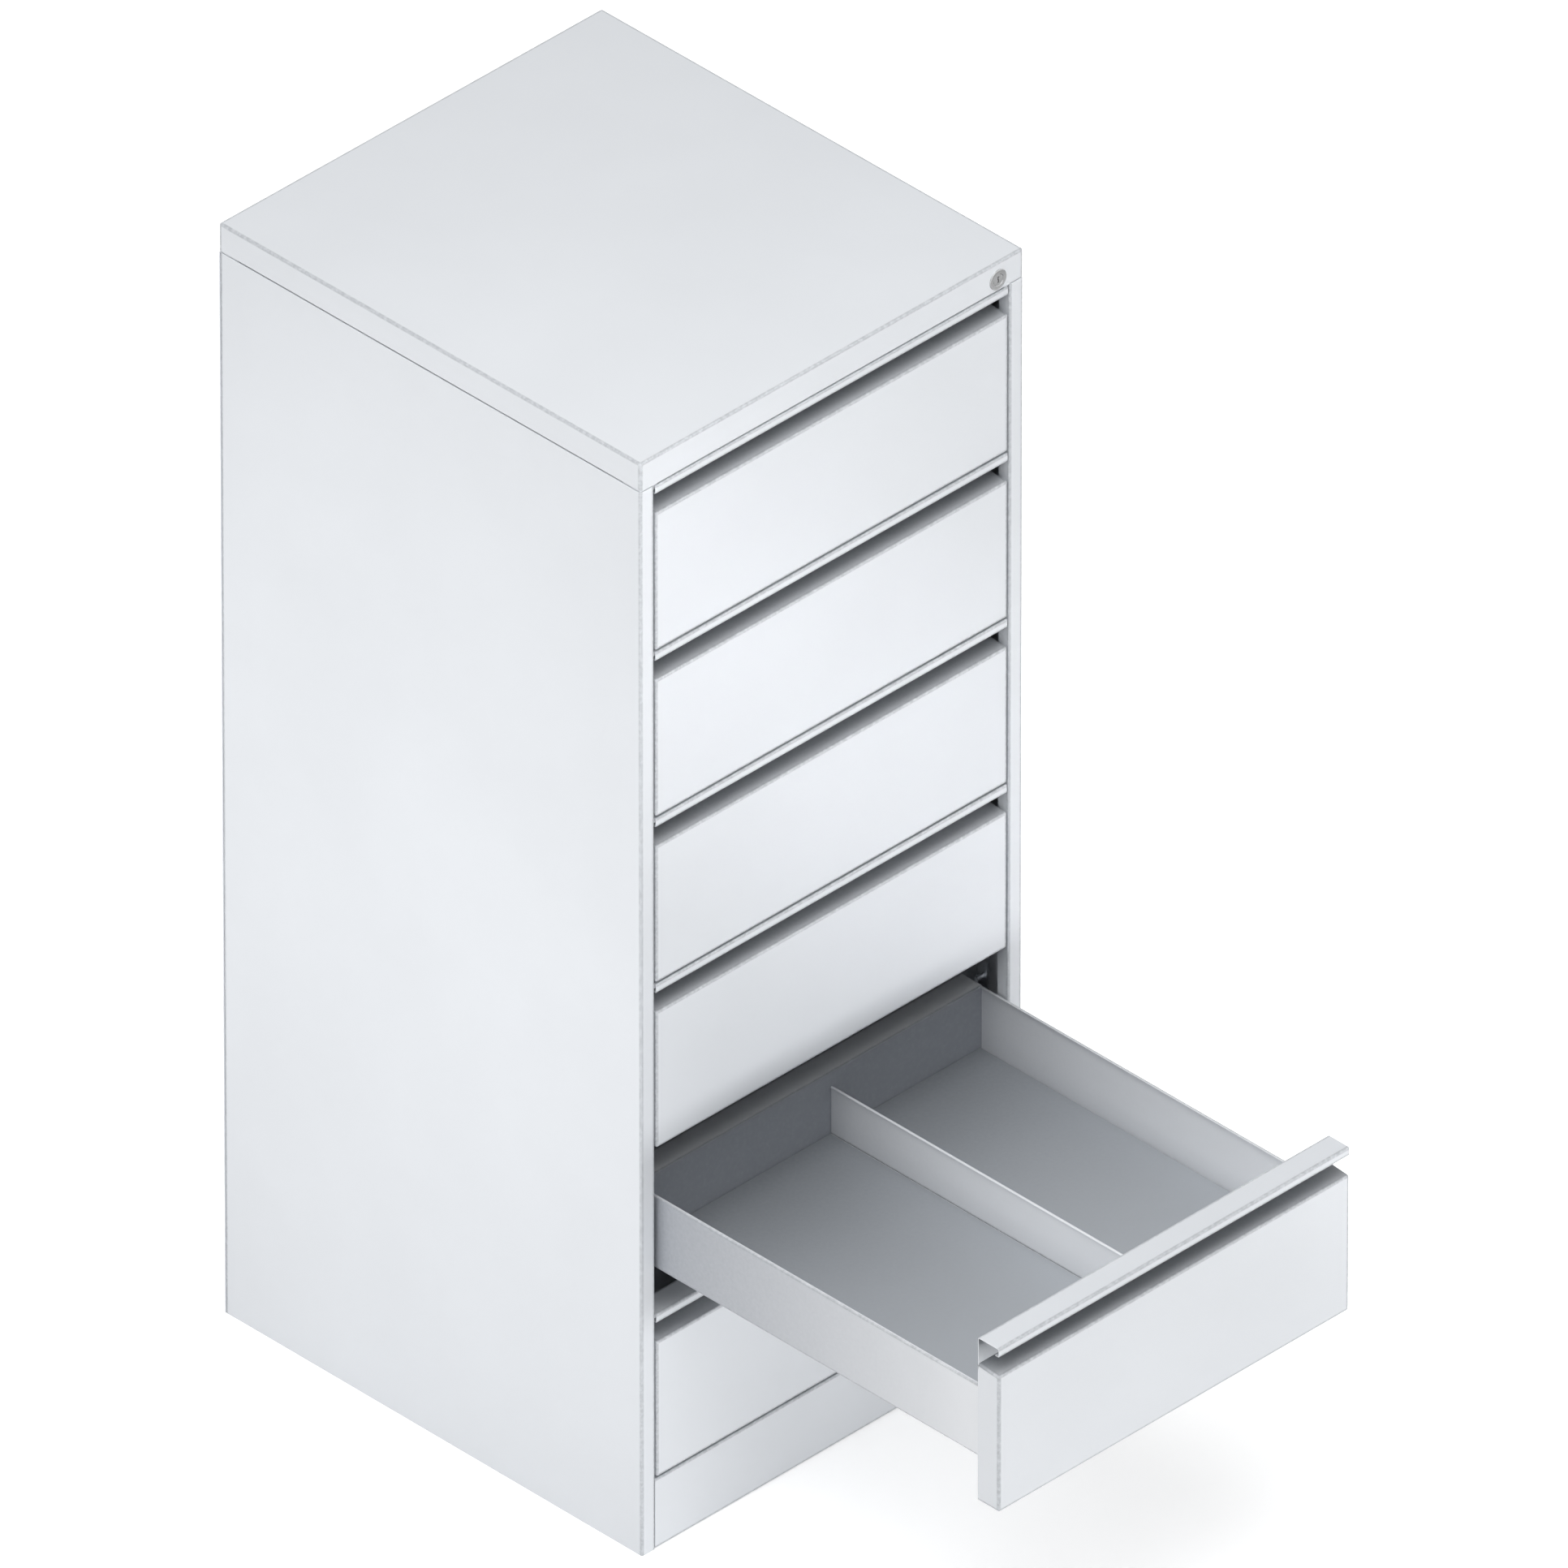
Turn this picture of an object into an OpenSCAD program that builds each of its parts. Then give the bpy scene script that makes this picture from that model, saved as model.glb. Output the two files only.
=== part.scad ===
// Card index cabinet of folded sheet steel: a stack of shallow drawers, each with a grip
// ledge across its front and a lengthwise divider, on full-extension undermount slides.
// Millimetres. X to the right, front faces -Y, +Z up.
// The origin is on the floor, at the centre of the cabinet's footprint.

/* [Cabinet] */
// Overall width
cab_w = 540; // [440:5:700]
// Overall depth, drawers closed
cab_d = 600; // [580:5:720]
// Number of drawers
drawers = 6; // [3:1:8]
// Height of one drawer slot
pitch = 203; // [195:1:260]
// Height of the band round the top cover
cap_h = 35; // [33:1:50]
// Height of the plinth
plinth_h = 87; // [75:1:130]
// Width of the stile on each side of the drawers
stile_w = 19; // [19:1:32]
// Depth of the fold behind each stile
stile_return = 15; // [8:1:22]
// Width of the flanges that join the body panels
panel_flange = 25; // [18:1:30]
// Sheet thickness of the body
sheet_t = 1.2; // [0.8:0.1:1.6]

/* [Drawer fronts] */
// Gap between a front and each stile
front_gap_x = 2.2; // [1:0.1:3]
// Gap between one front and the next
front_gap_z = 2.5; // [1.5:0.1:4]
// Depth of a front, face to back
front_t = 30; // [24:1:36]
// Height of the lip at the edge of the grip ledge
lip_h = 10.5; // [8:0.5:14]
// Depth of the fold under the lip
lip_return = 6; // [3:1:10]
// Height from the top of the ledge to the top of the main panel
grip_h = 34; // [28:1:36]
// Fall of the grip's floor towards the front
grip_fall = 2.6; // [0:0.2:5]
// Sheet thickness of the panel that closes a front from behind
liner_t = 1; // [0.8:0.1:1.5]
// Margin of that panel inside the front's outline
liner_margin = 3; // [2:0.5:8]

/* [Drawer boxes] */
// Length of a drawer box behind its front
tray_l = 490; // [460:5:500]
// Height of the drawer walls
wall_h = 87; // [70:1:100]
// Height from the top of the ledge down to the top of the walls
wall_drop = 60; // [58:1:70]
// Height of the skirt below the drawer floor
skirt_h = 11; // [9:0.5:14]
// Gap between a drawer wall and the edge of the opening
tray_gap = 4; // [3.5:0.5:8]
// Sheet thickness of the drawer box
tray_t = 1; // [0.8:0.1:1.4]
// Width of the hem folded along the top of the walls
hem_w = 3.4; // [2:0.2:6]
// Width of the flange folded back from the top of the rear wall
rear_flange = 30; // [6:1:36]
// Width of the flanges that join the walls to the front
tray_flange = 12; // [8:1:20]
// Height of the divider
divider_h = 59; // [30:1:62]
// Place of the divider, from the centre to the right
divider_x = 32; // [-100:1:100]
// Sheet thickness of the divider
divider_t = 1; // [0.8:0.1:1.5]
// Width of the divider's foot
divider_foot = 14; // [8:1:24]
// Diameter of the bead along the top of the divider
divider_bead = 3; // [2.2:0.2:5]

/* [Slides] */
// Travel of a drawer
travel = 487; // [300:1:490]
// Drawer that stands open, counted from the top
open_drawer = 5; // [1:1:8]
// Part of the drawer box's length that the slides leave free
rail_short = 24; // [10:1:60]
// Height of a slide, floor to floor
rail_h = 12.7; // [12:0.1:14]
// Width of the fixed slide member
rail_w = 35; // [35:1:45]
// Distance from the drawer wall to the slide
rail_inset = 20; // [16:1:40]
// Distance from the drawer's front face back to the slides
rail_setback = 52; // [52:1:60]
// Thickness of the slide members' webs
rail_web = 1.2; // [1:0.1:1.5]
// Thickness of the slide members' side flanges
rail_flange = 2.2; // [2:0.1:2.6]
// Gap between two side flanges, where the balls run
race_gap = 2.5; // [2.2:0.1:3]
// Diameter of the balls
ball_d = 3.2; // [3:0.1:3.4]
// Clearance between a ball and its race
race_clear = 0.15; // [0.1:0.01:0.2]
// Number of balls in one cage
balls = 5; // [3:1:9]
// Distance between balls
ball_pitch = 40; // [20:1:45]
// Thickness of the shelf that carries a slide
carrier_t = 1.5; // [1.2:0.1:2]
// Height of the shelf's flange on the side panel
carrier_flange = 25; // [15:1:30]
// Diameter of the rubber stop behind each slide
buffer_d = 14; // [10:1:18]
// Length of the rubber stop
buffer_l = 9.7; // [6:0.1:14]

/* [Base] */
// Sheet thickness of the base frame
base_t = 1.5; // [1.2:0.1:2]
// Drop of the base frame's top below the lowest drawer slot
base_drop = 7; // [4:0.5:12]
// Gap between the plinth panel and each stile
plinth_gap = 0.5; // [0.3:0.1:2]
// Setback of the plinth panel from the front
plinth_setback = 0.6; // [0:0.1:5]
// Diameter of a levelling foot's pad
foot_d = 30; // [20:1:36]
// Thickness of a levelling foot's pad
foot_t = 6; // [4:1:10]
// Diameter of a levelling foot's stem
stem_d = 8; // [6:1:10]
// Length of a levelling foot's stem
stem_l = 46; // [36:1:52]
// Height of the corner plates that hold the feet
gusset_z = 30; // [22:1:34]
// Diameter of the access holes above the feet
access_d = 14; // [12:1:20]

/* [Lock] */
// Distance from the right edge of the cabinet to the lock
lock_inset = 36; // [34:1:44]
// Height of the lock above the lower edge of the top cover
lock_rise = 14.5; // [14:0.1:17]
// Diameter of the lock's rim
lock_rim_d = 23.5; // [21:0.5:25]
// Diameter of the lock's barrel
barrel_d = 18; // [16:0.5:19]
// Length of the lock's barrel behind the cabinet's face
barrel_l = 28; // [24:1:30]
// Diameter of the plug that the key turns
plug_d = 13; // [10:0.5:14]
// Radius at which the cam's pin turns
cam_r = 7; // [6:0.1:8]
// Diameter of the cam's pin
cam_pin_d = 5; // [4:0.5:5]
// Width of the lock bar
bar_w = 14; // [12:1:16]
// Thickness of the lock bar
bar_t = 3; // [2:0.5:4]
// Diameter of the pins that catch the drawers
catch_d = 6; // [5:0.5:7]
// Thickness of the hook plate on a drawer
hook_t = 2; // [1.5:0.1:2.2]

/* [Fasteners] */
// Diameter of the panel screws' heads
screw_head_d = 8; // [7:0.5:9]
// Height of the panel screws' heads
screw_head_h = 2.4; // [2:0.1:3]
// Diameter of the panel screws' shanks
screw_d = 4; // [3.5:0.1:5]
// Length of the panel screws' shanks
screw_l = 9; // [6:1:14]

/* [Hidden] */
$fn = 48;
fit = 0.05;             // radial clearance of a screw or stem in its hole
run = 0.3;              // clearance between parts that slide past each other
bar_clear = 0.5;        // clearance of the lock bar in its guides
cam_clear = 0.4;        // clearance of the cam's pin in its slot

cab_h = plinth_h + drawers * pitch + cap_h;
body_top = cab_h - cap_h;
half_w = cab_w / 2;
face_y = -cab_d / 2;    // front plane of the cabinet
back_y = cab_d / 2;
open_w = cab_w - 2 * stile_w;
inner_x = half_w - sheet_t;
return_y = face_y + stile_return;

front_w = open_w - 2 * front_gap_x;
front_h = pitch - front_gap_z;
grip_back_z = -grip_h + grip_fall;

// A drawer's own frame: y runs back from its front face, z is 0 at the top of its ledge.
tray_w = open_w - 2 * tray_gap;
tray_y0 = front_t + liner_t;
tray_y1 = tray_y0 + tray_l;
wall_top = -wall_drop;
wall_bottom = wall_top - wall_h;
floor_top = wall_bottom + skirt_h;
floor_under = floor_top - tray_t;

rail_top = floor_under;
rail_bottom = rail_top - rail_h;
rail_x = tray_w / 2 - rail_inset - rail_w / 2;
rail_l = tray_l - rail_short;
rail_y0 = rail_setback;
rail_y1 = rail_y0 + rail_l;
race_outer = rail_w / 2 - rail_flange - race_gap / 2;
race_inner = race_outer - race_gap - rail_flange;
race_z = rail_h / 2 - 0.15;
flange_top = rail_h - 3.3;
web_gap = 1;
groove_r = ball_d / 2 + race_clear;
middle_web = rail_web + web_gap;
cage_t = 1;
cage_h = 4;
cage_end = 8;
cage_l = (balls - 1) * ball_pitch + 2 * cage_end;

carrier_x0 = rail_x - rail_w / 2 - 2;
carrier_y1 = tray_y1 + run + buffer_l + carrier_t;
tab_w = buffer_d + 6;
buffer_z = floor_top + buffer_d / 2 + 2;

base_h = plinth_h - base_drop;
base_y0 = return_y + 1;
base_y1 = back_y - 2 * sheet_t;
foot_in = panel_flange + foot_d / 2 + 4;
foot_x = inner_x - foot_in;
foot_ys = [base_y0 + foot_in, base_y1 - foot_in];
gusset_w = foot_in + foot_d / 2;
boss_d = stem_d + 8;
boss_h = 8;

lock_x = half_w - lock_inset;
lock_z = body_top + lock_rise;
cam_swing = 90;         // turn of the key
catch_lift = 2 * cam_r * sin(cam_swing / 2);
cam_t = 4;
cam_y = face_y + barrel_l + 0.4;
arm_y = cam_y + cam_t + 1;
arm_h = cam_pin_d + 2 * cam_clear + 6.3;
cam_pin_x = lock_x - cam_r * cos(cam_swing / 2);
cam_pin_z = lock_z - cam_r * sin(cam_swing / 2);
bar_y = arm_y + bar_w / 2;
bar_x = open_w / 2 + 3;
catch_rest = wall_top + catch_d / 2 + 1.5;
catch_tip = tray_w / 2 - 1.5;
bar_tail = 40;          // of the strip, below the lowest catch
bar_z0 = slot_top(drawers) + wall_top - bar_tail;
bar_z1 = cam_pin_z + arm_h / 2;
guide_h = 12;
guide_zs = [bar_z0 + guide_h / 2 + 4, slot_top(ceil(drawers / 2)) - pitch / 2, body_top - pitch / 2];

hook_x = tray_w / 2;
hook_clear = 0.6;
hook_y = bar_y - face_y;            // of the catch pin, in the drawer's frame
hook_under = catch_rest + catch_lift + catch_d / 2 + 1;
hook_top = hook_under + 4.5;
hook_tooth = catch_rest + catch_d / 2 + 1;
hook_tail = 6.4;
hook_foot = wall_top - 25;

cap_screw_xs = [-0.38, -0.13, 0.13, 0.38] * cab_w;
cap_screw_z = body_top + cap_h / 2;
back_screw_x = half_w - panel_flange / 2;
back_screw_margin = 55;
back_screw_rows = 5;
back_screw_low = base_h + back_screw_margin;
back_screw_step = (body_top - back_screw_margin - back_screw_low) / (back_screw_rows - 1);
back_screw_zs = [for (i = [0:back_screw_rows - 1]) back_screw_low + i * back_screw_step];

DRAWER_PARTS = ["front", "liner", "tray", "divider", "rails", "hook", "middle_rails"];
function part_name(k, part) = str("drawer_", k, "_", part);

paint = "#DDE0E4";
tray_paint = "#D4D7DA";
zinc = "#C3C6C8";
steel = "#9EA2A6";
rubber = "#2B2B2D";
brass = "#C9CBCD";

function slot_top(k) = plinth_h + (drawers - k + 1) * pitch;
function pulled(k) = k == open_drawer ? travel : 0;

// ---------------------------------------------------------------- helpers

module box(lo, hi) {
    translate(lo) cube(hi - lo);
}

// A shape drawn in the YZ plane and run along X from x0 to x1.
module along_x(x0, x1) {
    translate([x0, 0, 0]) rotate([90, 0, 90]) linear_extrude(x1 - x0) children();
}

// A shape drawn in the XZ plane and run along Y from y0 to y1.
module along_y(y0, y1) {
    translate([0, y1, 0]) rotate([90, 0, 0]) linear_extrude(y1 - y0) children();
}

module rod_y(d, y0, y1) {
    translate([0, y0, 0]) rotate([-90, 0, 0]) cylinder(d = d, h = y1 - y0);
}

module rod_x(d, x0, x1) {
    translate([x0, 0, 0]) rotate([0, 90, 0]) cylinder(d = d, h = x1 - x0);
}

module rect(x0, y0, x1, y1) {
    translate([x0, y0]) square([x1 - x0, y1 - y0]);
}

module both_sides() {
    children();
    mirror([1, 0, 0]) children();
}

// Puts a drawer part in its slot, drawn out by its share of the travel.
module in_slot(k, share) {
    translate([0, face_y - share * pulled(k), slot_top(k) - front_gap_z / 2]) children();
}

module back_screw_holes() {
    for (z = back_screw_zs) both_sides()
        translate([back_screw_x, 0, z]) rod_y(screw_d + 2 * fit, back_y - 20, back_y + 1);
}

module cap_screw_holes() {
    for (x = cap_screw_xs)
        translate([x, 0, cap_screw_z]) rod_y(screw_d + 2 * fit, back_y - 20, back_y + 1);
}

module lock_hole() {
    translate([lock_x, 0, lock_z]) rod_y(barrel_d + 2 * fit, face_y - 1, face_y + 10);
}

// ---------------------------------------------------------------- body

// Side sheet with its stile, the fold behind the stile, and flanges at the back and top.
module side_sheet() {
    edge_x = half_w - stile_w;
    box([inner_x, face_y, 0], [half_w, back_y - sheet_t, body_top]);
    box([edge_x, face_y, 0], [half_w, face_y + sheet_t, body_top]);
    box([edge_x, face_y, 0], [edge_x + sheet_t, return_y, body_top - sheet_t]);
    difference() {
        box([half_w - panel_flange, back_y - 2 * sheet_t, 0], [half_w, back_y - sheet_t, body_top]);
        back_screw_holes();
    }
    box([half_w - panel_flange, face_y, body_top - sheet_t], [half_w, back_y - sheet_t, body_top]);
}

module left_side_panel() {
    color(paint) mirror([1, 0, 0]) side_sheet();
}

module right_side_panel() {
    color(paint) difference() {
        side_sheet();
        box([bar_x - 2, bar_y - bar_w / 2 - 2, body_top - 2 * sheet_t],
            [bar_x + bar_t + 2, bar_y + bar_w / 2 + 2, body_top + 1]);
    }
}

module back_panel() {
    color(paint) difference() {
        box([-half_w, back_y - sheet_t, 0], [half_w, back_y, body_top]);
        back_screw_holes();
    }
}

module top_cover() {
    color(paint) difference() {
        box([-half_w, face_y, body_top], [half_w, back_y, cab_h]);
        box([-inner_x, face_y + sheet_t, body_top - 1], [inner_x, back_y - sheet_t, cab_h - sheet_t]);
        lock_hole();
        cap_screw_holes();
    }
}

// Channels under the cover, at the front and back, that tie the side panels together.
module top_rails() {
    web_y = face_y + sheet_t;
    rail_depth = 24;
    color(paint) {
        difference() {
            along_x(-inner_x, inner_x) {
                rect(web_y, body_top, web_y + sheet_t, cab_h - sheet_t);
                rect(web_y, body_top, web_y + rail_depth, body_top + sheet_t);
                rect(web_y, cab_h - 2 * sheet_t, web_y + rail_depth, cab_h - sheet_t);
            }
            lock_hole();
        }
        difference() {
            along_x(-inner_x, inner_x) mirror([1, 0]) {
                rect(web_y, body_top, web_y + sheet_t, cab_h - sheet_t);
                rect(web_y, body_top, web_y + rail_depth, body_top + sheet_t);
                rect(web_y, cab_h - 2 * sheet_t, web_y + rail_depth, cab_h - sheet_t);
            }
            cap_screw_holes();
        }
    }
}

// Welded ring of channel with a corner plate and nut boss for each levelling foot.
module base_frame() {
    color(zinc) {
        difference() {
            box([-inner_x, base_y0, 0], [inner_x, base_y1, base_h]);
            box([-inner_x + base_t, base_y0 + base_t, base_t],
                [inner_x - base_t, base_y1 - base_t, base_h - base_t]);
            box([-inner_x + panel_flange, base_y0 + panel_flange, -1],
                [inner_x - panel_flange, base_y1 - panel_flange, base_h + 1]);
        }
        both_sides() for (end = [0, 1]) difference() {
            union() {
                box([inner_x - gusset_w, end == 0 ? base_y0 : base_y1 - gusset_w, gusset_z],
                    [inner_x, end == 0 ? base_y0 + gusset_w : base_y1, gusset_z + base_t]);
                translate([foot_x, foot_ys[end], gusset_z]) cylinder(d = boss_d, h = boss_h);
            }
            translate([foot_x, foot_ys[end], gusset_z - 1])
                cylinder(d = stem_d + 2 * fit, h = boss_h + 2);
        }
    }
}

module base_panel() {
    color(paint) difference() {
        box([-inner_x + run, base_y0, base_h], [inner_x - run, base_y1, base_h + sheet_t]);
        both_sides() for (y = foot_ys)
            translate([foot_x, y, base_h - 1]) cylinder(d = access_d, h = sheet_t + 2);
    }
}

module plinth_panel() {
    front_y = face_y + plinth_setback;
    top_z = plinth_h - front_gap_z / 2;
    color(paint) along_x(-open_w / 2 + plinth_gap, open_w / 2 - plinth_gap) {
        rect(front_y, run, front_y + sheet_t, top_z);
        rect(front_y, run, base_y0, run + sheet_t);
        rect(front_y, top_z - sheet_t, base_y0, top_z);
        rect(base_y0 - sheet_t, base_h - 20, base_y0, top_z);
    }
}

module levelling_feet() {
    color(steel) both_sides() for (y = foot_ys) translate([foot_x, y, 0]) difference() {
        union() {
            cylinder(d = foot_d, h = foot_t);
            translate([0, 0, foot_t]) cylinder(d1 = foot_d * 0.6, d2 = stem_d, h = 3);
            cylinder(d = stem_d, h = foot_t + stem_l);
        }
        box([-stem_d, -0.6, foot_t + stem_l - 2], [stem_d, 0.6, foot_t + stem_l + 1]);
    }
}

// ---------------------------------------------------------------- slides

// Shelf under each slide, welded to the side panel, with a tab for the rubber stop.
module rail_carriers() {
    color(zinc) for (k = [1:drawers]) in_slot(k, 0) both_sides() {
        box([carrier_x0, rail_y0, rail_bottom - carrier_t], [inner_x, carrier_y1, rail_bottom]);
        box([inner_x - carrier_t, rail_y0, rail_bottom - carrier_flange],
            [inner_x, carrier_y1, rail_bottom]);
        box([rail_x - tab_w / 2, carrier_y1 - carrier_t, rail_bottom - carrier_t],
            [rail_x + tab_w / 2, carrier_y1, buffer_z + buffer_d / 2 + 3]);
    }
}

module fixed_rails() {
    color(steel) for (k = [1:drawers]) in_slot(k, 0) both_sides()
        translate([rail_x, 0, rail_bottom]) along_y(rail_y0, rail_y1) difference() {
            union() {
                rect(-rail_w / 2, 0, rail_w / 2, rail_web);
                both_sides() rect(rail_w / 2 - rail_flange, 0, rail_w / 2, flange_top);
            }
            both_sides() translate([race_outer, race_z]) circle(groove_r);
        }
}

module stop_buffers() {
    color(rubber) for (k = [1:drawers]) in_slot(k, 0) both_sides()
        translate([rail_x, 0, buffer_z]) {
            rod_y(buffer_d, carrier_y1 - carrier_t - buffer_l + 2, carrier_y1 - carrier_t);
            rod_y(buffer_d - 3, carrier_y1 - carrier_t - buffer_l, carrier_y1 - carrier_t);
        }
}

// A strip with balls in it, running along Y from y0.
module ball_cage(y0) {
    translate([-cage_t / 2, y0, race_z - cage_h / 2]) cube([cage_t, cage_l, cage_h]);
    for (i = [0:balls - 1])
        translate([0, y0 + cage_end + i * ball_pitch, race_z]) rotate([0, 90, 0]) sphere(d = ball_d);
}

// Middle slide members with their ball cages, which follow the drawer at half its speed.
module middle_rails(k) {
    outer = race_outer - race_gap / 2;
    color(steel) in_slot(k, 0.5) both_sides() translate([rail_x, 0, rail_bottom]) {
        along_y(rail_y0, rail_y1) difference() {
            union() {
                rect(-outer, middle_web, outer, middle_web + rail_web);
                both_sides() rect(outer - rail_flange, middle_web, outer, flange_top);
            }
            both_sides() translate([race_outer, race_z]) circle(groove_r);
            both_sides() translate([race_inner, race_z]) circle(groove_r);
        }
        both_sides() translate([race_outer, 0, 0]) ball_cage(rail_y1 - 4 - cage_l);
        both_sides() translate([race_inner, 0, 0]) ball_cage(rail_y0 + 4);
    }
}

module drawer_rails(k) {
    outer = race_inner - race_gap / 2;
    color(steel) in_slot(k, 1) both_sides() translate([rail_x, 0, rail_bottom])
        along_y(rail_y0, rail_y1) difference() {
            union() {
                rect(-outer - 6, rail_h - rail_web, outer + 6, rail_h);
                both_sides() rect(outer - rail_flange, middle_web + rail_web + web_gap, outer, rail_h);
            }
            both_sides() translate([race_inner, race_z]) circle(groove_r);
        }
}

// ---------------------------------------------------------------- drawers

// Folded front: ledge with its lip, open-ended grip channel, main panel with closed ends.
module drawer_front(k) {
    half = front_w / 2;
    color(paint) in_slot(k, 1) {
        along_x(-half, half) {
            rect(0, -lip_h, sheet_t, 0);
            rect(0, -lip_h, lip_return, -lip_h + sheet_t);
            rect(0, -sheet_t, front_t, 0);
            rect(front_t - sheet_t, grip_back_z - sheet_t, front_t, 0);
            polygon([[0, -grip_h], [front_t, grip_back_z],
                     [front_t, grip_back_z - sheet_t], [0, -grip_h - sheet_t]]);
            rect(0, -front_h, sheet_t, -grip_h);
            rect(0, -front_h, front_t, -front_h + sheet_t);
        }
        both_sides() along_x(half - sheet_t, half)
            polygon([[0, -front_h], [0, -grip_h], [front_t, grip_back_z], [front_t, -front_h]]);
    }
}

module drawer_liner(k) {
    half = front_w / 2 - liner_margin;
    color(tray_paint) in_slot(k, 1)
        box([-half, front_t, -front_h + liner_margin], [half, front_t + liner_t, -liner_margin]);
}

// Floor, walls with their hems and skirts, and the back, folded and welded.
module drawer_tray(k) {
    half = tray_w / 2;
    color(tray_paint) in_slot(k, 1) {
        along_y(tray_y0, tray_y1) {
            rect(-half, floor_under, half, floor_top);
            both_sides() {
                rect(half - tray_t, wall_bottom, half, wall_top);
                rect(half - 2 * tray_t, wall_bottom, half, floor_top);
                rect(half - hem_w, wall_top - tray_t, half, wall_top);
            }
        }
        box([-half, tray_y1 - tray_t, floor_under], [half, tray_y1, wall_top]);
        box([-half, tray_y1 - tray_t, wall_top - tray_t], [half, tray_y1 + rear_flange, wall_top]);
        box([-half, tray_y1 + rear_flange - tray_t, wall_top - lip_return],
            [half, tray_y1 + rear_flange, wall_top]);
        both_sides()
            box([half - tray_flange, tray_y0, floor_under], [half, tray_y0 + tray_t, wall_top]);
    }
}

module drawer_divider(k) {
    y0 = tray_y0 + tray_t + run;
    y1 = tray_y1 - tray_t - run;
    bead_r = divider_bead / 2;
    color(tray_paint) in_slot(k, 1) translate([divider_x, 0, floor_top]) {
        box([-divider_t / 2, y0, 0], [divider_t / 2, y1, divider_h - bead_r]);
        box([-divider_t / 2, y0, 0], [divider_foot - divider_t / 2, y1, divider_t]);
        translate([0, 0, divider_h - bead_r]) rod_y(divider_bead, y0, y1);
    }
}

// Hook plate on the right wall; the lock bar's pin rises behind its tooth.
module drawer_hook(k) {
    color(zinc) in_slot(k, 1) along_x(hook_x, hook_x + hook_t) {
        rect(tray_y0, hook_foot, hook_y - catch_d / 2 - hook_clear, hook_top);
        rect(tray_y0, hook_under, hook_y + catch_d / 2 + hook_clear + hook_tail, hook_top);
        rect(hook_y + catch_d / 2 + hook_clear, hook_tooth,
             hook_y + catch_d / 2 + hook_clear + hook_tail, hook_top);
    }
}

// ---------------------------------------------------------------- lock

module lock_housing() {
    rim_t = 1.5;
    color(brass) translate([lock_x, 0, lock_z]) difference() {
        union() {
            rod_y(barrel_d, face_y - rim_t, face_y + barrel_l);
            rod_y(lock_rim_d, face_y - rim_t, face_y);
        }
        rod_y(plug_d + 2 * fit, face_y - rim_t - 1, face_y + barrel_l + 1);
    }
}

module lock_nut() {
    nut_y = face_y + 2 * sheet_t;
    color(steel) translate([lock_x, 0, lock_z]) difference() {
        translate([0, nut_y, 0]) rotate([-90, 0, 0]) cylinder(d = lock_rim_d, h = 4, $fn = 6);
        rod_y(barrel_d + 2 * fit, nut_y - 1, nut_y + 5);
    }
}

// Plug with its keyway, cam disc and eccentric pin.
module lock_plug() {
    keyway_w = 1.6;
    keyway_h = 8;
    color(brass) translate([lock_x, 0, lock_z]) difference() {
        union() {
            rod_y(plug_d, face_y - 1, cam_y);
            rod_y(2 * (cam_r + cam_pin_d / 2 + 0.5), cam_y, cam_y + cam_t);
            translate([cam_pin_x - lock_x, 0, cam_pin_z - lock_z])
                rod_y(cam_pin_d, cam_y, arm_y + bar_t + 1);
        }
        box([-keyway_w / 2, face_y - 2, -keyway_h / 2], [keyway_w / 2, face_y + 16, keyway_h / 2]);
    }
}

module at_catches() {
    for (k = [1:drawers])
        translate([0, bar_y, slot_top(k) - front_gap_z / 2 + catch_rest]) children();
}

// Strip behind the right stile with a catch pin for each drawer and the cam's slotted arm.
module lock_bar() {
    slot_half = cam_pin_d / 2 + cam_clear;
    slot_x0 = lock_x - cam_r - slot_half;
    slot_x1 = cam_pin_x + slot_half;
    arm_x0 = slot_x0 - 4;
    color(zinc) difference() {
        union() {
            box([bar_x, bar_y - bar_w / 2, bar_z0], [bar_x + bar_t, bar_y + bar_w / 2, bar_z1]);
            box([arm_x0, arm_y, bar_z1 - arm_h], [bar_x + bar_t, arm_y + bar_t, bar_z1]);
        }
        box([slot_x0, arm_y - 1, cam_pin_z - slot_half],
            [slot_x1, arm_y + bar_t + 1, cam_pin_z + slot_half]);
        at_catches() rod_x(catch_d + 2 * fit, bar_x - 1, bar_x + bar_t + 1);
    }
    color(steel) at_catches() rod_x(catch_d, catch_tip, bar_x + bar_t);
}

// Clips on the side panel that hold the bar; the lowest has a stop under it.
module lock_bar_guides() {
    wall = 1.5;
    y0 = bar_y - bar_w / 2 - bar_clear;
    y1 = bar_y + bar_w / 2 + bar_clear;
    color(zinc) {
        for (z = guide_zs) difference() {
            box([bar_x - bar_clear - wall, y0 - wall, z - guide_h / 2],
                [inner_x, y1 + wall, z + guide_h / 2]);
            box([bar_x - bar_clear, y0, z - guide_h], [bar_x + bar_t + bar_clear, y1, z + guide_h]);
            box([bar_x + bar_t + bar_clear + wall, y0, z - guide_h], [inner_x + 1, y1, z + guide_h]);
        }
        box([bar_x - bar_clear - wall, y0 - wall, bar_z0 - run - wall],
            [inner_x, y1 + wall, bar_z0 - run]);
    }
}

// ---------------------------------------------------------------- fasteners

module panel_screw() {
    rod_y(screw_d, -screw_l, 0);
    difference() {
        rod_y(screw_head_d, 0, screw_head_h);
        for (a = [0, 90]) rotate([0, a, 0])
            box([-screw_head_d * 0.3, screw_head_h - 1.2, -0.5],
                [screw_head_d * 0.3, screw_head_h + 1, 0.5]);
    }
}

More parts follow.
